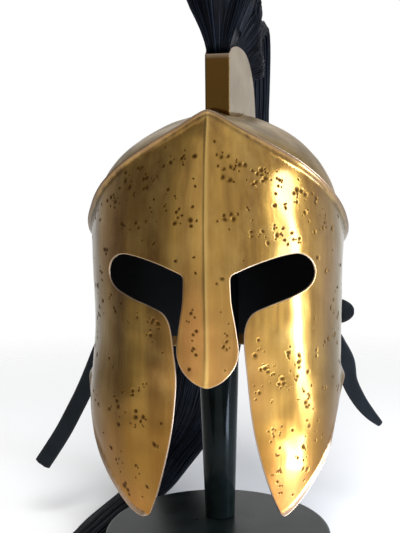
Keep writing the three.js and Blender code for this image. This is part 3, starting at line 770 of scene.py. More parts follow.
def crest_holder(material):
    """Front and sides in one bent sheet, with a round top edge."""
    surface = dome_surface()
    side = crest_plan()
    plan = np.concatenate([side[::-1] * (-1, 1), side[1:]])
    along = np.gradient(plan, axis=0)
    along /= np.linalg.norm(along, axis=1)[:, None]
    inward = np.stack([-along[:, 1], along[:, 0]], -1)
    bend = CREST_WALL / 2
    rows = []
    for (across, back), normal in zip(plan, inward):
        shoulder = float(crest_top(back)) - bend
        sides = []
        for depth in (0, CREST_WALL):
            p = crest_point(across + normal[0] * depth, back + normal[1] * depth, 0)
            hit = surface.ray_cast(Vector((p[0], p[1], ABOVE_ALL)), Vector((0, 0, -1)))[0]
            foot = (hit.z if hit else CREST_MISS_Z) + CREST_FOOT_GAP
            rise = shoulder - foot
            sides.append([(depth, foot + rise * k / (CREST_ROWS - 1)) for k in range(CREST_ROWS)])
        arch = [
            (bend * (1 - math.cos(a)), shoulder + bend * math.sin(a))
            for a in np.linspace(0, math.pi, CREST_ROUND_STEPS + 1)[1:-1]
        ]
        loop = sides[0] + arch + sides[1][::-1]
        rows.append([crest_point(across + normal[0] * d, back + normal[1] * d, z) for d, z in loop])
    rows = np.array(rows)
    count, around = rows.shape[:2]
    points = rows.reshape(-1, 3)
    middle = points[:, 0].mean()
    points[:, 0] += np.sign(points[:, 0] - middle) * waves(points, CREST_WAVE) * 0.5
    top = np.repeat(crest_top(plan[:, 1]), around)
    front = 1 - smoothstep(np.repeat(plan[:, 1], around), *CREST_FRONT_BAND)
    edge = 1 - smoothstep(top - points[:, 2], *CREST_WEAR)
    values = {"edge": edge, "front": front, "pale": 1 - front}
    faces = body_faces(count, around)
    add_piece("crest_sheet", points, faces, material, "crest_box", values)


# Hair

HAIR_RADIUS = 0.62
MANE_LENGTH = 104
MANE_LOCKS = 9
MANE_FRONT = 6
MANE_RUN = 104
MANE_SEAT = 2
MANE_LEAN_FRONT = -7
MANE_LEAN_BACK = 74
MANE_SHORTER_BEHIND = 0.42
MANE_NARROWER_BEHIND = 0.22
MANE_SWEEP = 10
MANE = table(
    "reach half",
    (0, 9), (0.14, 12), (0.28, 16.5), (0.44, 23), (0.64, 29), (0.83, 29), (0.95, 20), (1, 7),
)
mane_half = Line(MANE, "reach", "half")
MANE_STRANDS = 3000
MANE_STRAND_STEPS = 9
MANE_PULL = (0.35, 0.7)  # how far a strand's tip is drawn into its lock
MANE_CUT = (0.86, 1.0)
MANE_DRIFT = 0.03
MANE_CORE = 0.86
MANE_CORE_REACH = 0.93
MANE_CORE_ROWS = 37
MANE_CORE_STEPS = 16
CORE_TONE = 0.1

TAIL = table(
    "x y z wide thick",
    (11, 78, 418, 9, 8), (15, 97, 452, 16, 12), (18, 121, 477, 22, 14), (20, 147, 478, 25, 15),
    (19, 169, 438, 26, 14), (15, 180, 374, 28, 12), (7, 186, 305, 31, 11), (-5, 189, 245, 34, 10),
    (-20, 185, 178, 37, 10), (-34, 180, 115, 37, 10), (-48, 171, 64, 33, 10), (-67, 151, 29, 28, 9),
    (-83, 122, 12.5, 23, 7.5), (-98, 88, 8, 20, 6), (-110, 50, 7.5, 18, 5.5), (-119, 8, 7.5, 16, 5.5),
    (-130, -36, 7, 13, 5), (-144, -76, 6, 6, 3.5),
)
TAIL_STRANDS = 600
TAIL_STEPS = 62
TAIL_LOCKS = 14
TAIL_GATHER = 0.5
TAIL_WANDER = (0.02, 0.09)
TAIL_DEPTH = (0.8, 1.0)
TAIL_FIRST = 0.1  # shares of its length over which strands start and end
TAIL_LAST = 0.32
TAIL_THICKER = 1.15
TAIL_CORE = 0.8
TAIL_CORE_ROWS = 90
TAIL_CORE_SIDES = 28
FLOOR_GAP = 0.2


def add_hair(name, points, faces, material, tone):
    add_piece(name, points, faces, material, "plume", {"tone": tone})


def tubes(name, lines, radii, material, tones):
    """Three-sided tapering strands along lines of points, all in one mesh."""
    points, faces, tone, start = [], [], [], 0
    for line, radius, shade in zip(lines, radii, tones):
        line = np.asarray(line)
        size = 3 * len(line)
        ahead = np.gradient(line, axis=0)
        ahead /= np.maximum(np.linalg.norm(ahead, axis=1), 1e-6)[:, None]
        first = np.cross(ahead, (0.31, 0.27, 0.91))
        first /= np.maximum(np.linalg.norm(first, axis=1), 1e-6)[:, None]
        second = np.cross(ahead, first)
        turns = (0, math.tau / 3, 2 * math.tau / 3)
        sides = [line + (first * math.cos(a) + second * math.sin(a)) * radius[:, None] for a in turns]
        points.append(np.stack(sides, 1).reshape(-1, 3))
        tone.append(np.full(size, shade))
        end = start + size - 3
        for low in range(start, end, 3):
            high = low + 3
            faces += [(low + a, low + b, high + b, high + a) for a, b in ((0, 1), (1, 2), (2, 0))]
        faces += [(start + 2, start + 1, start), (end, end + 1, end + 2)]
        start += size
    add_hair(name, np.concatenate(points), faces, material, np.concatenate(tone))


def mane_place(share, side, reach, length):
    """A point of the mane: share along the crest, side from -1 to 1, and reach from its root."""
    root = MANE_FRONT + share * MANE_RUN
    lean = math.radians(MANE_LEAN_FRONT + (MANE_LEAN_BACK - MANE_LEAN_FRONT) * share ** 1.5)
    whole = MANE_LENGTH * (1 - MANE_SHORTER_BEHIND * share ** 1.5)
    rise = reach * whole * length
    half = float(mane_half(np.clip(reach, 0, 1))) * (1 - MANE_NARROWER_BEHIND * share)
    sweep = MANE_SWEEP * share * (rise / MANE_LENGTH) ** 2
    z = float(crest_top(root)) - MANE_SEAT + math.cos(lean) * rise
    return crest_point(side * half, root + math.sin(lean) * rise + sweep, z)


def mane(material):
    rows = []
    for share in np.linspace(0.01, 0.99, MANE_CORE_ROWS):
        groove = MANE_CORE_REACH + 0.05 * math.cos(share * math.tau * MANE_LOCKS)
        left, right = (
            [
                mane_place(share, side * MANE_CORE * groove, reach, MANE_CORE_REACH * groove)
                for reach in np.linspace(0, MANE_CORE_REACH, MANE_CORE_STEPS)
            ]
            for side in (-1, 1)
        )
        rows.append(left + right[::-1])
    points = np.concatenate(rows)
    faces = [face[::-1] for face in body_faces(len(rows), len(rows[0]))]
    add_hair("mane_core", points, faces, material, np.full(len(points), CORE_TONE))

    lines, radii, tones = [], [], []
    taper = np.linspace(0, 1, MANE_STRAND_STEPS + 1)
    for _ in range(MANE_STRANDS):
        share = random.random()
        side = random.choice((-1, 1)) * (1 - random.random() ** 2.2)
        lock_share = (math.floor(share * MANE_LOCKS) + 0.5) / MANE_LOCKS
        lock_side = round(side * 2.5) / 2.5
        pull = random.uniform(*MANE_PULL)
        round_lock = 0.95 + 0.05 * math.cos((share - lock_share) * math.tau * MANE_LOCKS)
        length = random.uniform(*MANE_CUT) * round_lock
        drift = random.gauss(0, MANE_DRIFT)
        phase = lock_share * 40 + lock_side * 7
        line = []
        for reach in taper:
            gather = pull * reach ** 3
            s = share + (lock_share - share) * gather + drift * reach ** 2
            a = side + (lock_side - side) * gather + 0.05 * math.sin(phase + reach * 4) * reach
            line.append(mane_place(min(max(s, 0), 1), np.clip(a, -1, 1), reach * 0.99, length))
        lines.append(line)
        radii.append(HAIR_RADIUS * (1 - 0.8 * taper ** 3))
        tones.append(random.random())
    tubes("mane_hair", lines, radii, material, tones)


def tail_frames(count):
    """Places along the fall of hair, the directions across and up there, and the sizes."""
    x, y, z, wide, thick = column_lines(TAIL, ("x", "y", "z", "wide", "thick"), count)
    line = np.stack([x, y, z], -1)
    ahead = np.gradient(line, axis=0)
    ahead /= np.linalg.norm(ahead, axis=1)[:, None]
    across = np.array([1.0, 0.0, 0.0])
    sides, ups = [], []
    for step in ahead:
        across = across - step * np.dot(across, step)
        across[2] = 0
        across /= np.linalg.norm(across)
        up = np.cross(step, across)
        sides.append(across.copy())
        ups.append(up / np.linalg.norm(up))
    return line, np.array(sides), np.array(ups), wide, thick


def tail(material):
    turns = np.linspace(0, math.tau, TAIL_CORE_SIDES, endpoint=False)
    level = np.cos(turns)
    rise = np.sin(turns) * (1 - 0.1 * (1 + np.cos(turns * TAIL_LOCKS / 2)))
    points = np.concatenate([
        p + np.outer(level, a) * w * TAIL_CORE + np.outer(rise, u) * t * TAIL_CORE
        for p, a, u, w, t in zip(*tail_frames(TAIL_CORE_ROWS))
    ])
    faces = body_faces(TAIL_CORE_ROWS, TAIL_CORE_SIDES)
    add_hair("tail_core", points, faces, material, np.full(len(points), CORE_TONE))

    line, across, up, wide, thick = tail_frames(TAIL_STEPS)
    lines, radii, tones = [], [], []
    for _ in range(TAIL_STRANDS):
        turn = random.uniform(0, math.tau)
        depth = random.uniform(*TAIL_DEPTH)
        lock = (math.floor(turn / math.tau * TAIL_LOCKS) + 0.5) / TAIL_LOCKS * math.tau
        phase = random.uniform(0, math.tau)
        wander = random.uniform(*TAIL_WANDER)
        first = int(TAIL_STEPS * TAIL_FIRST * random.random() ** 2)
        last = TAIL_STEPS - int(TAIL_STEPS * TAIL_LAST * random.random() ** 2.2)
        steps = np.arange(first, last)
        share = steps / (TAIL_STEPS - 1)
        gather = TAIL_GATHER * smoothstep(share, 0.35, 1.0)
        a = turn + (lock - turn) * gather + wander * np.sin(phase + share * 16)
        d = depth + 0.03 * np.sin(phase * 2 + share * 23)
        place = (
            line[steps]
            + across[steps] * (np.cos(a) * d * wide[steps])[:, None]
            + up[steps] * (np.sin(a) * d * thick[steps])[:, None]
        )
        place[:, 2] = np.maximum(place[:, 2], HAIR_RADIUS + FLOOR_GAP)
        lines.append(place)
        taper = (steps - first) / max(last - 1 - first, 1)
        radii.append(HAIR_RADIUS * TAIL_THICKER * (1 - 0.75 * taper ** 4))
        tones.append(random.random())
    tubes("tail_hair", lines, radii, material, tones)


# Straps and ears

STRAP_WIDTH = 16
STRAP_THICKNESS = 2.6
STRAP_SEAT = 0.9
STRAP_EASE = 0.6
STRAP_LEFT_Y = 60
STRAP_RIGHT_Y = 76
RIM_BACK_Z = 159
EAR_HEIGHT = 24
EAR_Z = 206


def wall_side(side, y, z, off):
    """The rear half of the wall on one side: a point some distance off it, and the way it faces."""
    half, shift, widest = float(half_of(z)), float(shift_of(z)), float(widest_of(z))
    depth = float(back_of(z)) - widest
    c = (y - AXIS_Y - widest) / depth
    s = side * math.sqrt(1 - c * c)
    face = Vector((s / half, c / depth, 0)).normalized()
    return Vector((half * s + shift, y, z)) + face * off, face


def seat(side, y, z):
    return wall_side(side, y, z, STRAP_SEAT + STRAP_THICKNESS / 2)[0].x


STRAP_LEFT = table(
    "x y z share turn",
    (seat(-1, 60, 214), 60, 214, 0.7, 0), (seat(-1, 60, 208), 60, 208, 1, 0),
    (seat(-1, 60, 194) - STRAP_EASE, 60, 194, 1, 0), (-114, 60, 175, 1, 0.55), (-122.5, 60, 154, 1, 1),
    (-132, 59, 132, 1, 1), (-142, 57, 112, 1, 1), (-155, 54, 88, 1, 1), (-174, 50, 59, 1, 1),
)
STRAP_RIGHT = table(
    "x y z share turn",
    (seat(1, 76, 214), 76, 214, 0.7, 0), (seat(1, 76, 208), 76, 208, 1, 0),
    (seat(1, 76, 194) + STRAP_EASE, 76, 194, 1, 0), (109.5, 77.5, 176, 1, 0.75), (118.5, 78, 158, 1, 1),
    (122, 78, 138, 0.95, 1), (131, 77, 120, 0.85, 1), (141, 76, 107, 0.68, 1), (151.5, 75, 97, 0.36, 1),
)
EAR = table(
    "out back share",
    (0, 17, 0.8), (0, 13, 1), (0.8, 6, 1), (4, 0, 1), (8.5, -4, 0.94), (13, -6.5, 0.76),
    (16.6, -8, 0.5), (18.4, -8.5, 0.22),
)
EAR_CURL_LEFT = 0.35
EAR_CURL_RIGHT = 1
STRIP_ROUND = 0.9
STRIP_STEPS = 60
STRIP_CUP = 0.21
STRIP_WEAR = (0.8, 1.0)
STRAP_END = 0.15  # share of the end's rounding that its last row starts from
STRAP_FULL = 0.97
EAR_STEPS = 30


def strip_outline(half):
    """A leather strip's section: flat faces and round edges, across and through."""
    r = STRIP_ROUND
    thick = STRAP_THICKNESS / 2
    points = []
    for side, start in ((1, -90), (-1, 90)):
        for corner in (0, 1):
            for k in range(4):
                a = math.radians(start + 90 * corner + 30 * k)
                centre = thick - r if (corner == 1) == (side == 1) else r - thick
                points.append((side * (half - r) + r * math.cos(a), centre + r * math.sin(a)))
        for k in range(1, 6):
            points.append((side * (half - r) * (1 - k / 3), side * thick))
    return points


def strip(name, middle, across, face, half, node, material):
    rows, edge = [], []
    for p, a, f, h in zip(middle, across, face, half):
        for w, t in strip_outline(max(h, STRIP_ROUND * 1.1)):
            cup = STRIP_CUP * (1 - (w / max(h, 1)) ** 2)
            rows.append(tuple(p + a * w + f * (t + cup)))
        edge.append([smoothstep(abs(w) / max(h, 1), *STRIP_WEAR) for w, _ in strip_outline(max(h, 1))])
    around = len(edge[0])
    edge = np.array(edge)
    edge[[0, -1]] = 1
    faces = body_faces(len(edge), around)
    add_piece(name, rows, faces, material, node, {"edge": edge.reshape(-1)})


def strap(name, rows, node, material, end_rounding):
    x, y, z, share, turn = column_lines(rows, ("x", "y", "z", "share", "turn"), STRIP_STEPS)
    line = np.stack([x, y, z], -1)
    ahead = np.gradient(line, axis=0)
    middle, across, face, half = [], [], [], []
    for p, step, part, twist in zip(line, ahead, share, turn):
        step = Vector(step).normalized()
        side = math.copysign(1, p[0])
        out = wall_side(side, p[1], max(p[2], RIM_BACK_Z), 0)[1]
        facing = out.lerp(Vector((0, 1, 0)), float(np.clip(twist, 0, 1))).normalized()
        sideways = step.cross(facing).normalized()
        middle.append(Vector(p))
        across.append(sideways)
        face.append(sideways.cross(step).normalized())
        left = min(STRAP_END + (len(line) - 1 - len(half)) * end_rounding, STRAP_FULL)
        half.append(float(part) * STRAP_WIDTH / 2 * math.sqrt(1 - (1 - left) ** 2))
    strip(name, middle, across, face, half, node, material)


def ear(name, side, y, curl, node, material):
    point, face = wall_side(side, y, EAR_Z, STRAP_SEAT + STRAP_THICKNESS * 1.5 + GAP)
    behind = Vector((-face.y * side, face.x * side, 0))
    out, back, share = column_lines(EAR, ("out", "back", "share"), EAR_STEPS)
    middle = [point + face * float(o) * curl + behind * float(b) for o, b in zip(out, back)]
    upright = Vector((0, 0, 1))
    faces = []
    for i in range(len(middle)):
        ahead = (middle[min(i + 1, len(middle) - 1)] - middle[max(i - 1, 0)]).normalized()
        faces.append(upright.cross(ahead))
    half = [float(s) * EAR_HEIGHT / 2 for s in share]
    strip(name, middle, [upright] * len(middle), faces, half, node, material)


# The stand

BASE_RADIUS = 100
BASE_HEIGHT = 22
BASE_ROUND = 4
BASE_FOOT_ROUND = 1
POST_Y = 30
POST_FOOT_RADIUS = 13.6
POST_TOP_RADIUS = 18.2
POST_TAPER_Z = 165
POST_BEND = 30  # the taper ends in a bend this far up and down from there
POST_BEND_STEPS = 12
BLOCK_FOOT_Z = 318
BLOCK_FOOT_RADIUS = 22.2
BLOCK_TOP_Z = 382.6
BLOCK = ((42, 36), (27, 42), (15, 37), (5.5, 23), (1.8, 12.5))  # down from its top, and radius
TURNED_SIDES = 128


def turned(name, profile, y, node, material):
    """A turned body from its outline of radius and height, which starts and ends on its axis."""
    inner = profile[1:-1]
    turns = np.linspace(0, math.tau, TURNED_SIDES, endpoint=False)
    points = [(r * math.cos(a), y + r * math.sin(a), z) for r, z in inner for a in turns]
    faces = grid_faces(len(inner), TURNED_SIDES)
    bottom, top = len(points), len(points) + 1
    points += [(0, y, profile[0][1]), (0, y, profile[-1][1])]
    last = (len(inner) - 1) * TURNED_SIDES
    for j in range(TURNED_SIDES):
        k = (j + 1) % TURNED_SIDES
        faces += [(k, j, bottom), (last + j, last + k, top)]
    add_piece(name, points, faces, material, node)


def arc(radius, z, size, first, last, steps):
    return [
        (radius + size * math.cos(math.radians(a)), z + size * math.sin(math.radians(a)))
        for a in np.linspace(first, last, steps)
    ]


def stand(disc_material, material):
    foot = arc(BASE_RADIUS - BASE_FOOT_ROUND, BASE_FOOT_ROUND, BASE_FOOT_ROUND, -90, 0, 5)
    shoulder = arc(BASE_RADIUS - BASE_ROUND, BASE_HEIGHT - BASE_ROUND, BASE_ROUND, 0, 90, 12)
    near_foot = [(0, 0), (BASE_RADIUS - 3, 0)]
    near_top = [(radius, BASE_HEIGHT) for radius in (BASE_RADIUS - BASE_ROUND - 1, 60, 20, 0)]
    turned("stand_disc", near_foot + foot + shoulder + near_top, 0, "stand_base", disc_material)

    low, high = BASE_HEIGHT + GAP, BLOCK_FOOT_Z - GAP
    cone = [(POST_FOOT_RADIUS, low + 0.6), (POST_FOOT_RADIUS + 0.02, low + 1.2)]
    slope = (POST_TOP_RADIUS - POST_FOOT_RADIUS) / (POST_TAPER_Z - low)
    for k in range(POST_BEND_STEPS + 1):
        z = POST_TAPER_Z - POST_BEND + 2 * POST_BEND * k / POST_BEND_STEPS
        over = (z - POST_TAPER_Z + POST_BEND) / (2 * POST_BEND)
        cone.append((POST_TOP_RADIUS - slope * POST_BEND * (1 - over) ** 2, z))
    near_low = [(0, low), (POST_FOOT_RADIUS - 0.6, low)]
    near_high = [(POST_TOP_RADIUS, high - 1), (POST_TOP_RADIUS, high), (0, high)]
    turned("stand_column", near_low + cone + near_high, POST_Y, "stand_post", material)

    block = [(0, BLOCK_FOOT_Z), (BLOCK_FOOT_RADIUS - 2, BLOCK_FOOT_Z), (BLOCK_FOOT_RADIUS, BLOCK_FOOT_Z + 1)]
    block += [(radius, BLOCK_TOP_Z - down) for down, radius in BLOCK] + [(0, BLOCK_TOP_Z)]
    turned("stand_head", block, AXIS_Y, "stand_block", material)


# Materials

def set_inputs(node, inputs):
    for name, value in inputs.items():
        node.inputs[name.replace("_", " ")].default_value = value


class Nodes:
    """A node tree, and short ways to add its nodes."""

    def __init__(self, tree):
        self.tree = tree

    def join(self, source, target):
        self.tree.links.new(source, target)

    def node(self, kind, **inputs):
        node = self.tree.nodes.new("ShaderNode" + kind)
        set_inputs(node, inputs)
        return node

    def fill(self, sockets, sources):
        """Gives each socket its number, its colour or its link."""
        for socket, source in zip(sockets, sources):
            if isinstance(source, (int, float)):
                socket.default_value = source
            elif isinstance(source, tuple):
                socket.default_value = (*source, 1)
            else:
                self.join(source, socket)

    def maths(self, kind, a, b, clamp=True):
        node = self.node("Math")
        node.operation = kind
        node.use_clamp = clamp
        self.fill(node.inputs, (a, b))
        return node.outputs["Value"]

    def span(self, source, low, high, to_low=0.0, to_high=1.0):
        node = self.node("MapRange", From_Min=low, From_Max=high, To_Min=to_low, To_Max=to_high)
        self.join(source, node.inputs["Value"])
        return node.outputs["Result"]


class Shader(Nodes):
    """A material with a principled shader."""

    def __init__(self, name):
        self.material = bpy.data.materials.new(name)
        self.material.use_nodes = True
        super().__init__(self.material.node_tree)
        self.main = self.tree.nodes["Principled BSDF"]
        self.place = self.node("TexCoord").outputs["Object"]

    def put(self, **inputs):
        set_inputs(self.main, inputs)

    def feed(self, name, source):
        self.join(source, self.main.inputs[name])

    def noise(self, scale, detail=4.0, rough=0.55, turn=0.0):
        """Noise whose scale is given along X, Y and Z, in steps per metre."""
        mapping = self.node("Mapping", Scale=scale, Location=(turn, turn * 2, turn * 3))
        self.join(self.place, mapping.inputs["Vector"])
        texture = self.node("TexNoise", Scale=1.0, Detail=detail, Roughness=rough)
        self.join(mapping.outputs["Vector"], texture.inputs["Vector"])
        return texture.outputs["Fac"]

    def value(self, name):
        node = self.node("Attribute")
        node.attribute_name = name
        return node.outputs["Fac"]

    def mix(self, share, a, b):
        node = self.node("Mix")
        node.data_type = "RGBA"
        self.fill([node.inputs[index] for index in (0, 6, 7)], (share, a, b))
        return node.outputs[2]

    def tint(self, colour, source, amount, tone):
        """Turns a colour towards a tone, as far as a source and an amount say."""
        return self.mix(self.maths("MULTIPLY", source, amount), colour, tone)

    def bump(self, *layers):
        """Bumps on each other, from sources with their strength and depth in metres."""
        normal = None
        for source, strength, depth in layers:
            node = self.node("Bump", Strength=strength, Distance=depth)
            self.join(source, node.inputs["Height"])
            if normal:
                self.join(normal, node.inputs["Normal"])
            normal = node.outputs["Normal"]
        self.feed("Normal", normal)


GOLD = (0.56, 0.32, 0.062)
GOLD_LIGHT = (0.74, 0.48, 0.14)
GOLD_DARK = (0.27, 0.13, 0.02)
# Dark brass for the painted shade on the low cheeks
GOLD_LOW_SHADE = (0.19, 0.086, 0.012)
# Grey olive for the painted grazing reflection on the sides
OLIVE_SHEEN = (0.33, 0.285, 0.165)
COPPER = (0.60, 0.255, 0.065)
ROSE = (0.20, 0.118, 0.066)
PALE = (0.47, 0.36, 0.27)
# Dark brown for dirt specks, and for the painted shade under the brow lip
GRIME_AND_SHADE = (0.07, 0.036, 0.01)
PIT_BROWN = (0.075, 0.034, 0.009)

# How far each attribute of the sheet turns its colour and adds to its roughness
# The pale edges and the pale flange band are partly wear, partly painted highlight and reflection
BRASS_WEAR_AND_GLINT = (("lip", 0.75, ROSE), ("rim", 0.7, PALE), ("edge", 0.8, PALE), ("pit", 0.95, PIT_BROWN))
BRASS_ROUGH = (("edge", 0.2), ("rim", 0.15), ("pit", 0.3), ("grime", 0.12))


def brass_material():
    m = Shader("aged_brass")
    band = m.noise((46, 46, 3.5), 3, 0.55, 1.1)
    streak = m.noise((190, 190, 9), 5, 0.6)
    fine_streak = m.noise((700, 700, 30), 4, 0.6, 3.0)
    cloud = m.noise((30, 30, 22), 5, 0.6, 1.7)
    speck = m.noise((900, 900, 700), 3, 0.7, 5.0)
    colour = m.mix(m.span(band, 0.36, 0.64), GOLD_DARK, GOLD)
    colour = m.tint(colour, m.span(streak, 0.5, 0.75), 0.25, GOLD_DARK)
    colour = m.tint(colour, m.span(cloud, 0.5, 0.72), 0.45, GOLD_LIGHT)
    colour = m.tint(colour, m.span(fine_streak, 0.55, 0.8), 0.2, GOLD_LIGHT)
    # Painted reflection: the sides greyer and lighter
    colour = m.tint(colour, m.value("side"), 0.8, OLIVE_SHEEN)
    # Painted shade: the low cheeks darker
    colour = m.tint(colour, m.value("low"), 0.85, GOLD_LOW_SHADE)
    colour = m.tint(colour, m.value("copper"), m.span(cloud, 0.25, 0.6, 0.5, 1.0), COPPER)
    # Painted highlight: a light line along the rib
    colour = m.tint(colour, m.value("rib"), 0.75, GOLD_LIGHT)
    # Darker patches, the dark inside, and the painted shade under the brow lip
    colour = m.tint(colour, m.value("grime"), m.span(streak, 0.3, 0.6, 1.0, 0.45), GRIME_AND_SHADE)
    colour = m.tint(colour, m.span(speck, 0.62, 0.74), 0.35, GRIME_AND_SHADE)
    for key, amount, tone in BRASS_WEAR_AND_GLINT:
        colour = m.tint(colour, m.value(key), amount, tone)
    m.feed("Base Color", colour)
    rough = m.span(streak, 0.3, 0.7, 0.25, 0.18)
    for key, amount in BRASS_ROUGH:
        rough = m.maths("ADD", rough, m.maths("MULTIPLY", m.value(key), amount))
    m.feed("Roughness", rough)
    coat = m.span(m.value("pit"), 0, 0.6, 0.6, 0)
    m.feed("Coat Weight", m.maths("MULTIPLY", coat, m.span(m.value("low"), 0, 1, 1, 0.25)))
    m.put(Metallic=1.0, Coat_Roughness=0.14)
    m.bump((band, 0.2, 0.001), (streak, 0.15, 0.0003), (fine_streak, 0.1, 0.00008), (speck, 0.1, 0.00006))
    return m.material


CROWN_LIGHT = (0.47, 0.32, 0.125)
CROWN_DARK = (0.25, 0.168, 0.065)
CREST_PALE = (0.44, 0.385, 0.30)
BRONZE = (0.088, 0.042, 0.008)
CROWN_WEAR = (("pale", 0.6, CREST_PALE), ("front", 0.95, BRONZE), ("edge", 0.8, PALE))


def crown_material():
    m = Shader("dull_brass")
    cloud = m.noise((30, 30, 30), 6, 0.6, 2.2)
    brushed = m.noise((420, 420, 420), 3, 0.6, 4.0)
    colour = m.mix(m.span(cloud, 0.35, 0.68), CROWN_DARK, CROWN_LIGHT)
    colour = m.tint(colour, m.span(brushed, 0.58, 0.75), 0.4, GRIME_AND_SHADE)
    for key, amount, tone in CROWN_WEAR:
        colour = m.tint(colour, m.value(key), amount, tone)
    m.feed("Base Color", colour)
    m.feed("Roughness", m.span(cloud, 0.3, 0.7, 0.42, 0.3))
    m.put(Metallic=1.0)
    m.bump((cloud, 0.15, 0.0006), (brushed, 0.2, 0.00012))
    return m.material


HAIR_DARK = (0.0015, 0.002, 0.004)
HAIR_BLUE = (0.004, 0.006, 0.011)
HAIR_SHEEN = (0.012, 0.016, 0.026)
LACQUER_DARK = (0.004, 0.006, 0.0055)
LACQUER_LIGHT = (0.008, 0.012, 0.012)
LINING_BLACK = (0.004, 0.004, 0.004)
LINING_WORN = (0.01, 0.01, 0.01)
STRAP_BLACK = (0.0035, 0.005, 0.0065)
STRAP_WORN = (0.02, 0.02, 0.02)


def hair_material():
    m = Shader("black_horsehair")
    tone = m.value("tone")
    colour = m.mix(m.span(tone, 0.0, 0.8), HAIR_DARK, HAIR_BLUE)
    colour = m.mix(m.span(tone, 0.88, 1.0), colour, HAIR_SHEEN)
    m.feed("Base Color", colour)
    m.feed("Roughness", m.span(tone, 0.0, 1.0, 0.5, 0.36))
    m.put(Specular_IOR_Level=0.14)
    m.bump((m.noise((1400, 1400, 60), 3, 0.6), 0.2, 0.0001))
    return m.material


def leather_material(name, dark, worn, rough):
    m = Shader(name)
    grain = m.noise((1100, 1100, 1100), 3, 0.6)
    cloud = m.noise((60, 60, 60), 4, 0.6, 3.3)
    colour = m.mix(m.span(cloud, 0.35, 0.7), dark, tuple(c * 1.8 for c in dark))
    colour = m.tint(colour, m.value("edge"), 0.6, worn)
    m.feed("Base Color", colour)
    m.put(Specular_IOR_Level=0.12)
    m.feed("Roughness", m.span(cloud, 0.3, 0.7, rough - 0.06, rough + 0.08))
    m.bump((grain, 0.35, 0.0002), (cloud, 0.2, 0.0006))
    return m.material


def lacquer_material(name, gloss, rough):
    m = Shader(name)
    haze = m.noise((40, 40, 40), 4, 0.6)
    dust = m.noise((1500, 1500, 1500), 2, 0.5, 2.0)
    m.feed("Base Color", m.mix(m.span(haze, 0.4, 0.7), LACQUER_DARK, LACQUER_LIGHT))
    m.feed("Roughness", m.span(haze, 0.3, 0.7, rough - 0.03, rough + 0.04))
    m.put(Specular_IOR_Level=gloss)
    m.bump((dust, 0.04, 0.00004))
    return m.material


FLOOR_CLEAR = 0.35  # the floor is whole up to here, and has faded out at its reach
FLOOR_REACH = 1.2
FLOOR_GREY = (0.86, 0.86, 0.86, 1)


def floor_material():
    m = Shader("pale_floor")
    m.put(Base_Color=FLOOR_GREY, Roughness=0.6)
    away = m.node("VectorMath")
    away.operation = "LENGTH"
    m.join(m.place, away.inputs[0])
    m.feed("Alpha", m.span(away.outputs["Value"], FLOOR_CLEAR, FLOOR_REACH, 1, 0))
    return m.material


# The studio

CAMERA_TURN = 5.5  # degrees that the camera stands towards +X
CAMERA_DOWN = 5
CAMERA_ROLL = -0.6
CAMERA_PLACE = (57.2, -733.9, 320)
CAMERA_LENS = 57.41


def camera():
    data = bpy.data.cameras.new("camera")
    data.lens = CAMERA_LENS
    data.sensor_width = 36
    data.clip_start = 0.02
    data.clip_end = 60
    view = bpy.data.objects.new("camera", data)
    bpy.context.scene.collection.objects.link(view)
    turn, down = math.radians(CAMERA_TURN), math.radians(CAMERA_DOWN)
    right = Vector((math.cos(turn), math.sin(turn), 0))
    level = Vector((-math.sin(turn), math.cos(turn), 0))
    look = level * math.cos(down) - Vector((0, 0, math.sin(down)))
    up = right.cross(look)
    turned_view = Matrix((right, up, -look)).transposed().to_4x4()
    place = Matrix.Translation(Vector(CAMERA_PLACE) * MM)
    view.matrix_world = place @ turned_view @ Matrix.Rotation(math.radians(CAMERA_ROLL), 4, "Z")
    bpy.context.scene.camera = view


LIGHTS = table(
    "name place size power colour target turn shines",
    ("key_strip", (0.84, -0.24, 0.27), (0.2, 0.75), 8, (0.68, 0.79, 1.0), (0.065, -0.06, 0.26), 8, True),
    (
        "low_spot", (0.242, -0.132, 0.03), (0.09, 0.055), 0.62,
        (0.66, 0.78, 1.0), (0.064, -0.063, 0.105), 0, True,
    ),
    ("top_soft", (0.15, -1.0, 1.5), (0.9, 0.7), 32, (1, 1, 1), (0, 0.03, 0.25), 0, False),
)


def area_light(name, place, size, power, colour, target, turn, shines):
    data = bpy.data.lights.new(name, "AREA")
    data.shape = "RECTANGLE"
    data.size, data.size_y = size
    data.energy = power
    data.color = colour
    light = bpy.data.objects.new(name, data)
    light.location = place
    light.visible_camera = False
    light.visible_glossy = shines
    aim = Vector(target) - Vector(place)
    spun = aim.to_track_quat("-Z", "Y") @ Quaternion((0, 0, 1), math.radians(turn))
    light.rotation_euler = spun.to_euler()
    bpy.context.scene.collection.objects.link(light)


# The room round the helmet: open in front and on the right, dim on the left, light behind.
# Azimuths are in degrees from the helmet's front towards +X.
ROOM = table(
    "azimuth light",
    (-180, 0.9), (-130, 0.35), (-90, 0.18), (-55, 0.28), (-35, 0.8), (0, 0.7),
    (60, 0.7), (100, 0.8), (130, 0.6), (180, 0.9),
)


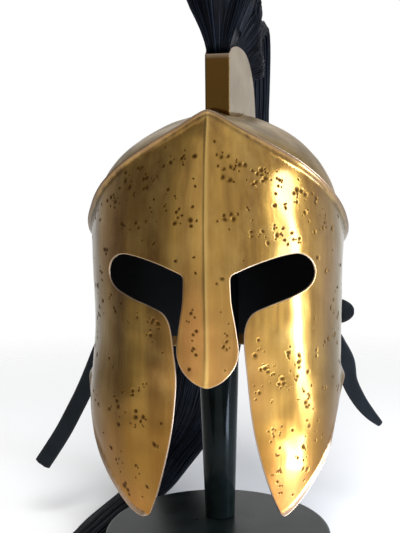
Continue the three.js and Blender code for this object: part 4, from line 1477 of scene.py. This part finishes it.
def room_light():
    """Light from all round by azimuth, where the camera itself sees plain white."""
    world = bpy.data.worlds.new("studio")
    bpy.context.scene.world = world
    world.use_nodes = True
    n = Nodes(world.node_tree)
    n.tree.nodes.clear()
    out = n.node("OutputWorld")
    split = n.node("SeparateXYZ")
    n.join(n.node("TexCoord").outputs["Generated"], split.inputs["Vector"])
    ahead = n.maths("MULTIPLY", split.outputs["Y"], -1, clamp=False)
    azimuth = n.maths("ARCTAN2", split.outputs["X"], ahead, clamp=False)
    ramp = n.node("ValToRGB")
    stops = ramp.color_ramp.elements
    for k, row in enumerate([ROOM[0], ROOM[-1], *ROOM[1:-1]]):
        share = (row["azimuth"] + 180) / 360
        stop = stops[k] if k < 2 else stops.new(share)
        stop.position = share
        stop.color = (row["light"], row["light"], row["light"], 1)
    n.join(n.span(azimuth, -math.pi, math.pi), ramp.inputs["Fac"])
    room = n.node("Background")
    n.join(ramp.outputs["Color"], room.inputs["Color"])
    seen = n.node("Background", Color=(1, 1, 1, 1), Strength=1.0)
    mix = n.node("MixShader")
    n.fill(mix.inputs, (n.node("LightPath").outputs["Is Camera Ray"], room.outputs[0], seen.outputs[0]))
    n.join(mix.outputs[0], out.inputs["Surface"])


def studio():
    room_light()
    mesh = bpy.data.meshes.new("floor")
    corners = [(x * FLOOR_REACH, y * FLOOR_REACH, 0) for x, y in ((-1, -1), (1, -1), (1, 1), (-1, 1))]
    mesh.from_pydata(corners, [], [(0, 1, 2, 3)])
    mesh.materials.append(floor_material())
    floor = bpy.data.objects.new("floor", mesh)
    bpy.context.scene.collection.objects.link(floor)
    for light in LIGHTS:
        area_light(**light)
    bpy.context.scene.view_settings.view_transform = "Standard"


camera()
brass = brass_material()
dull_brass = crown_material()
hair = hair_material()
main_sheet(brass)
crown(dull_brass)
crest_holder(dull_brass)
mane(hair)
tail(hair)
lining(leather_material("black_lining", LINING_BLACK, LINING_WORN, 0.75))
strap_leather = leather_material("strap_leather", STRAP_BLACK, STRAP_WORN, 0.42)
strap("chin_strap_left", STRAP_LEFT, "strap_left", strap_leather, 1)
strap("chin_strap_right", STRAP_RIGHT, "strap_right", strap_leather, 0.4)
ear("strap_ear_left", -1, STRAP_LEFT_Y, EAR_CURL_LEFT, "ear_left", strap_leather)
ear("strap_ear_right", 1, STRAP_RIGHT_Y, EAR_CURL_RIGHT, "ear_right", strap_leather)
stand(lacquer_material("disc_lacquer", 0.28, 0.3), lacquer_material("post_lacquer", 0.06, 0.12))
studio()
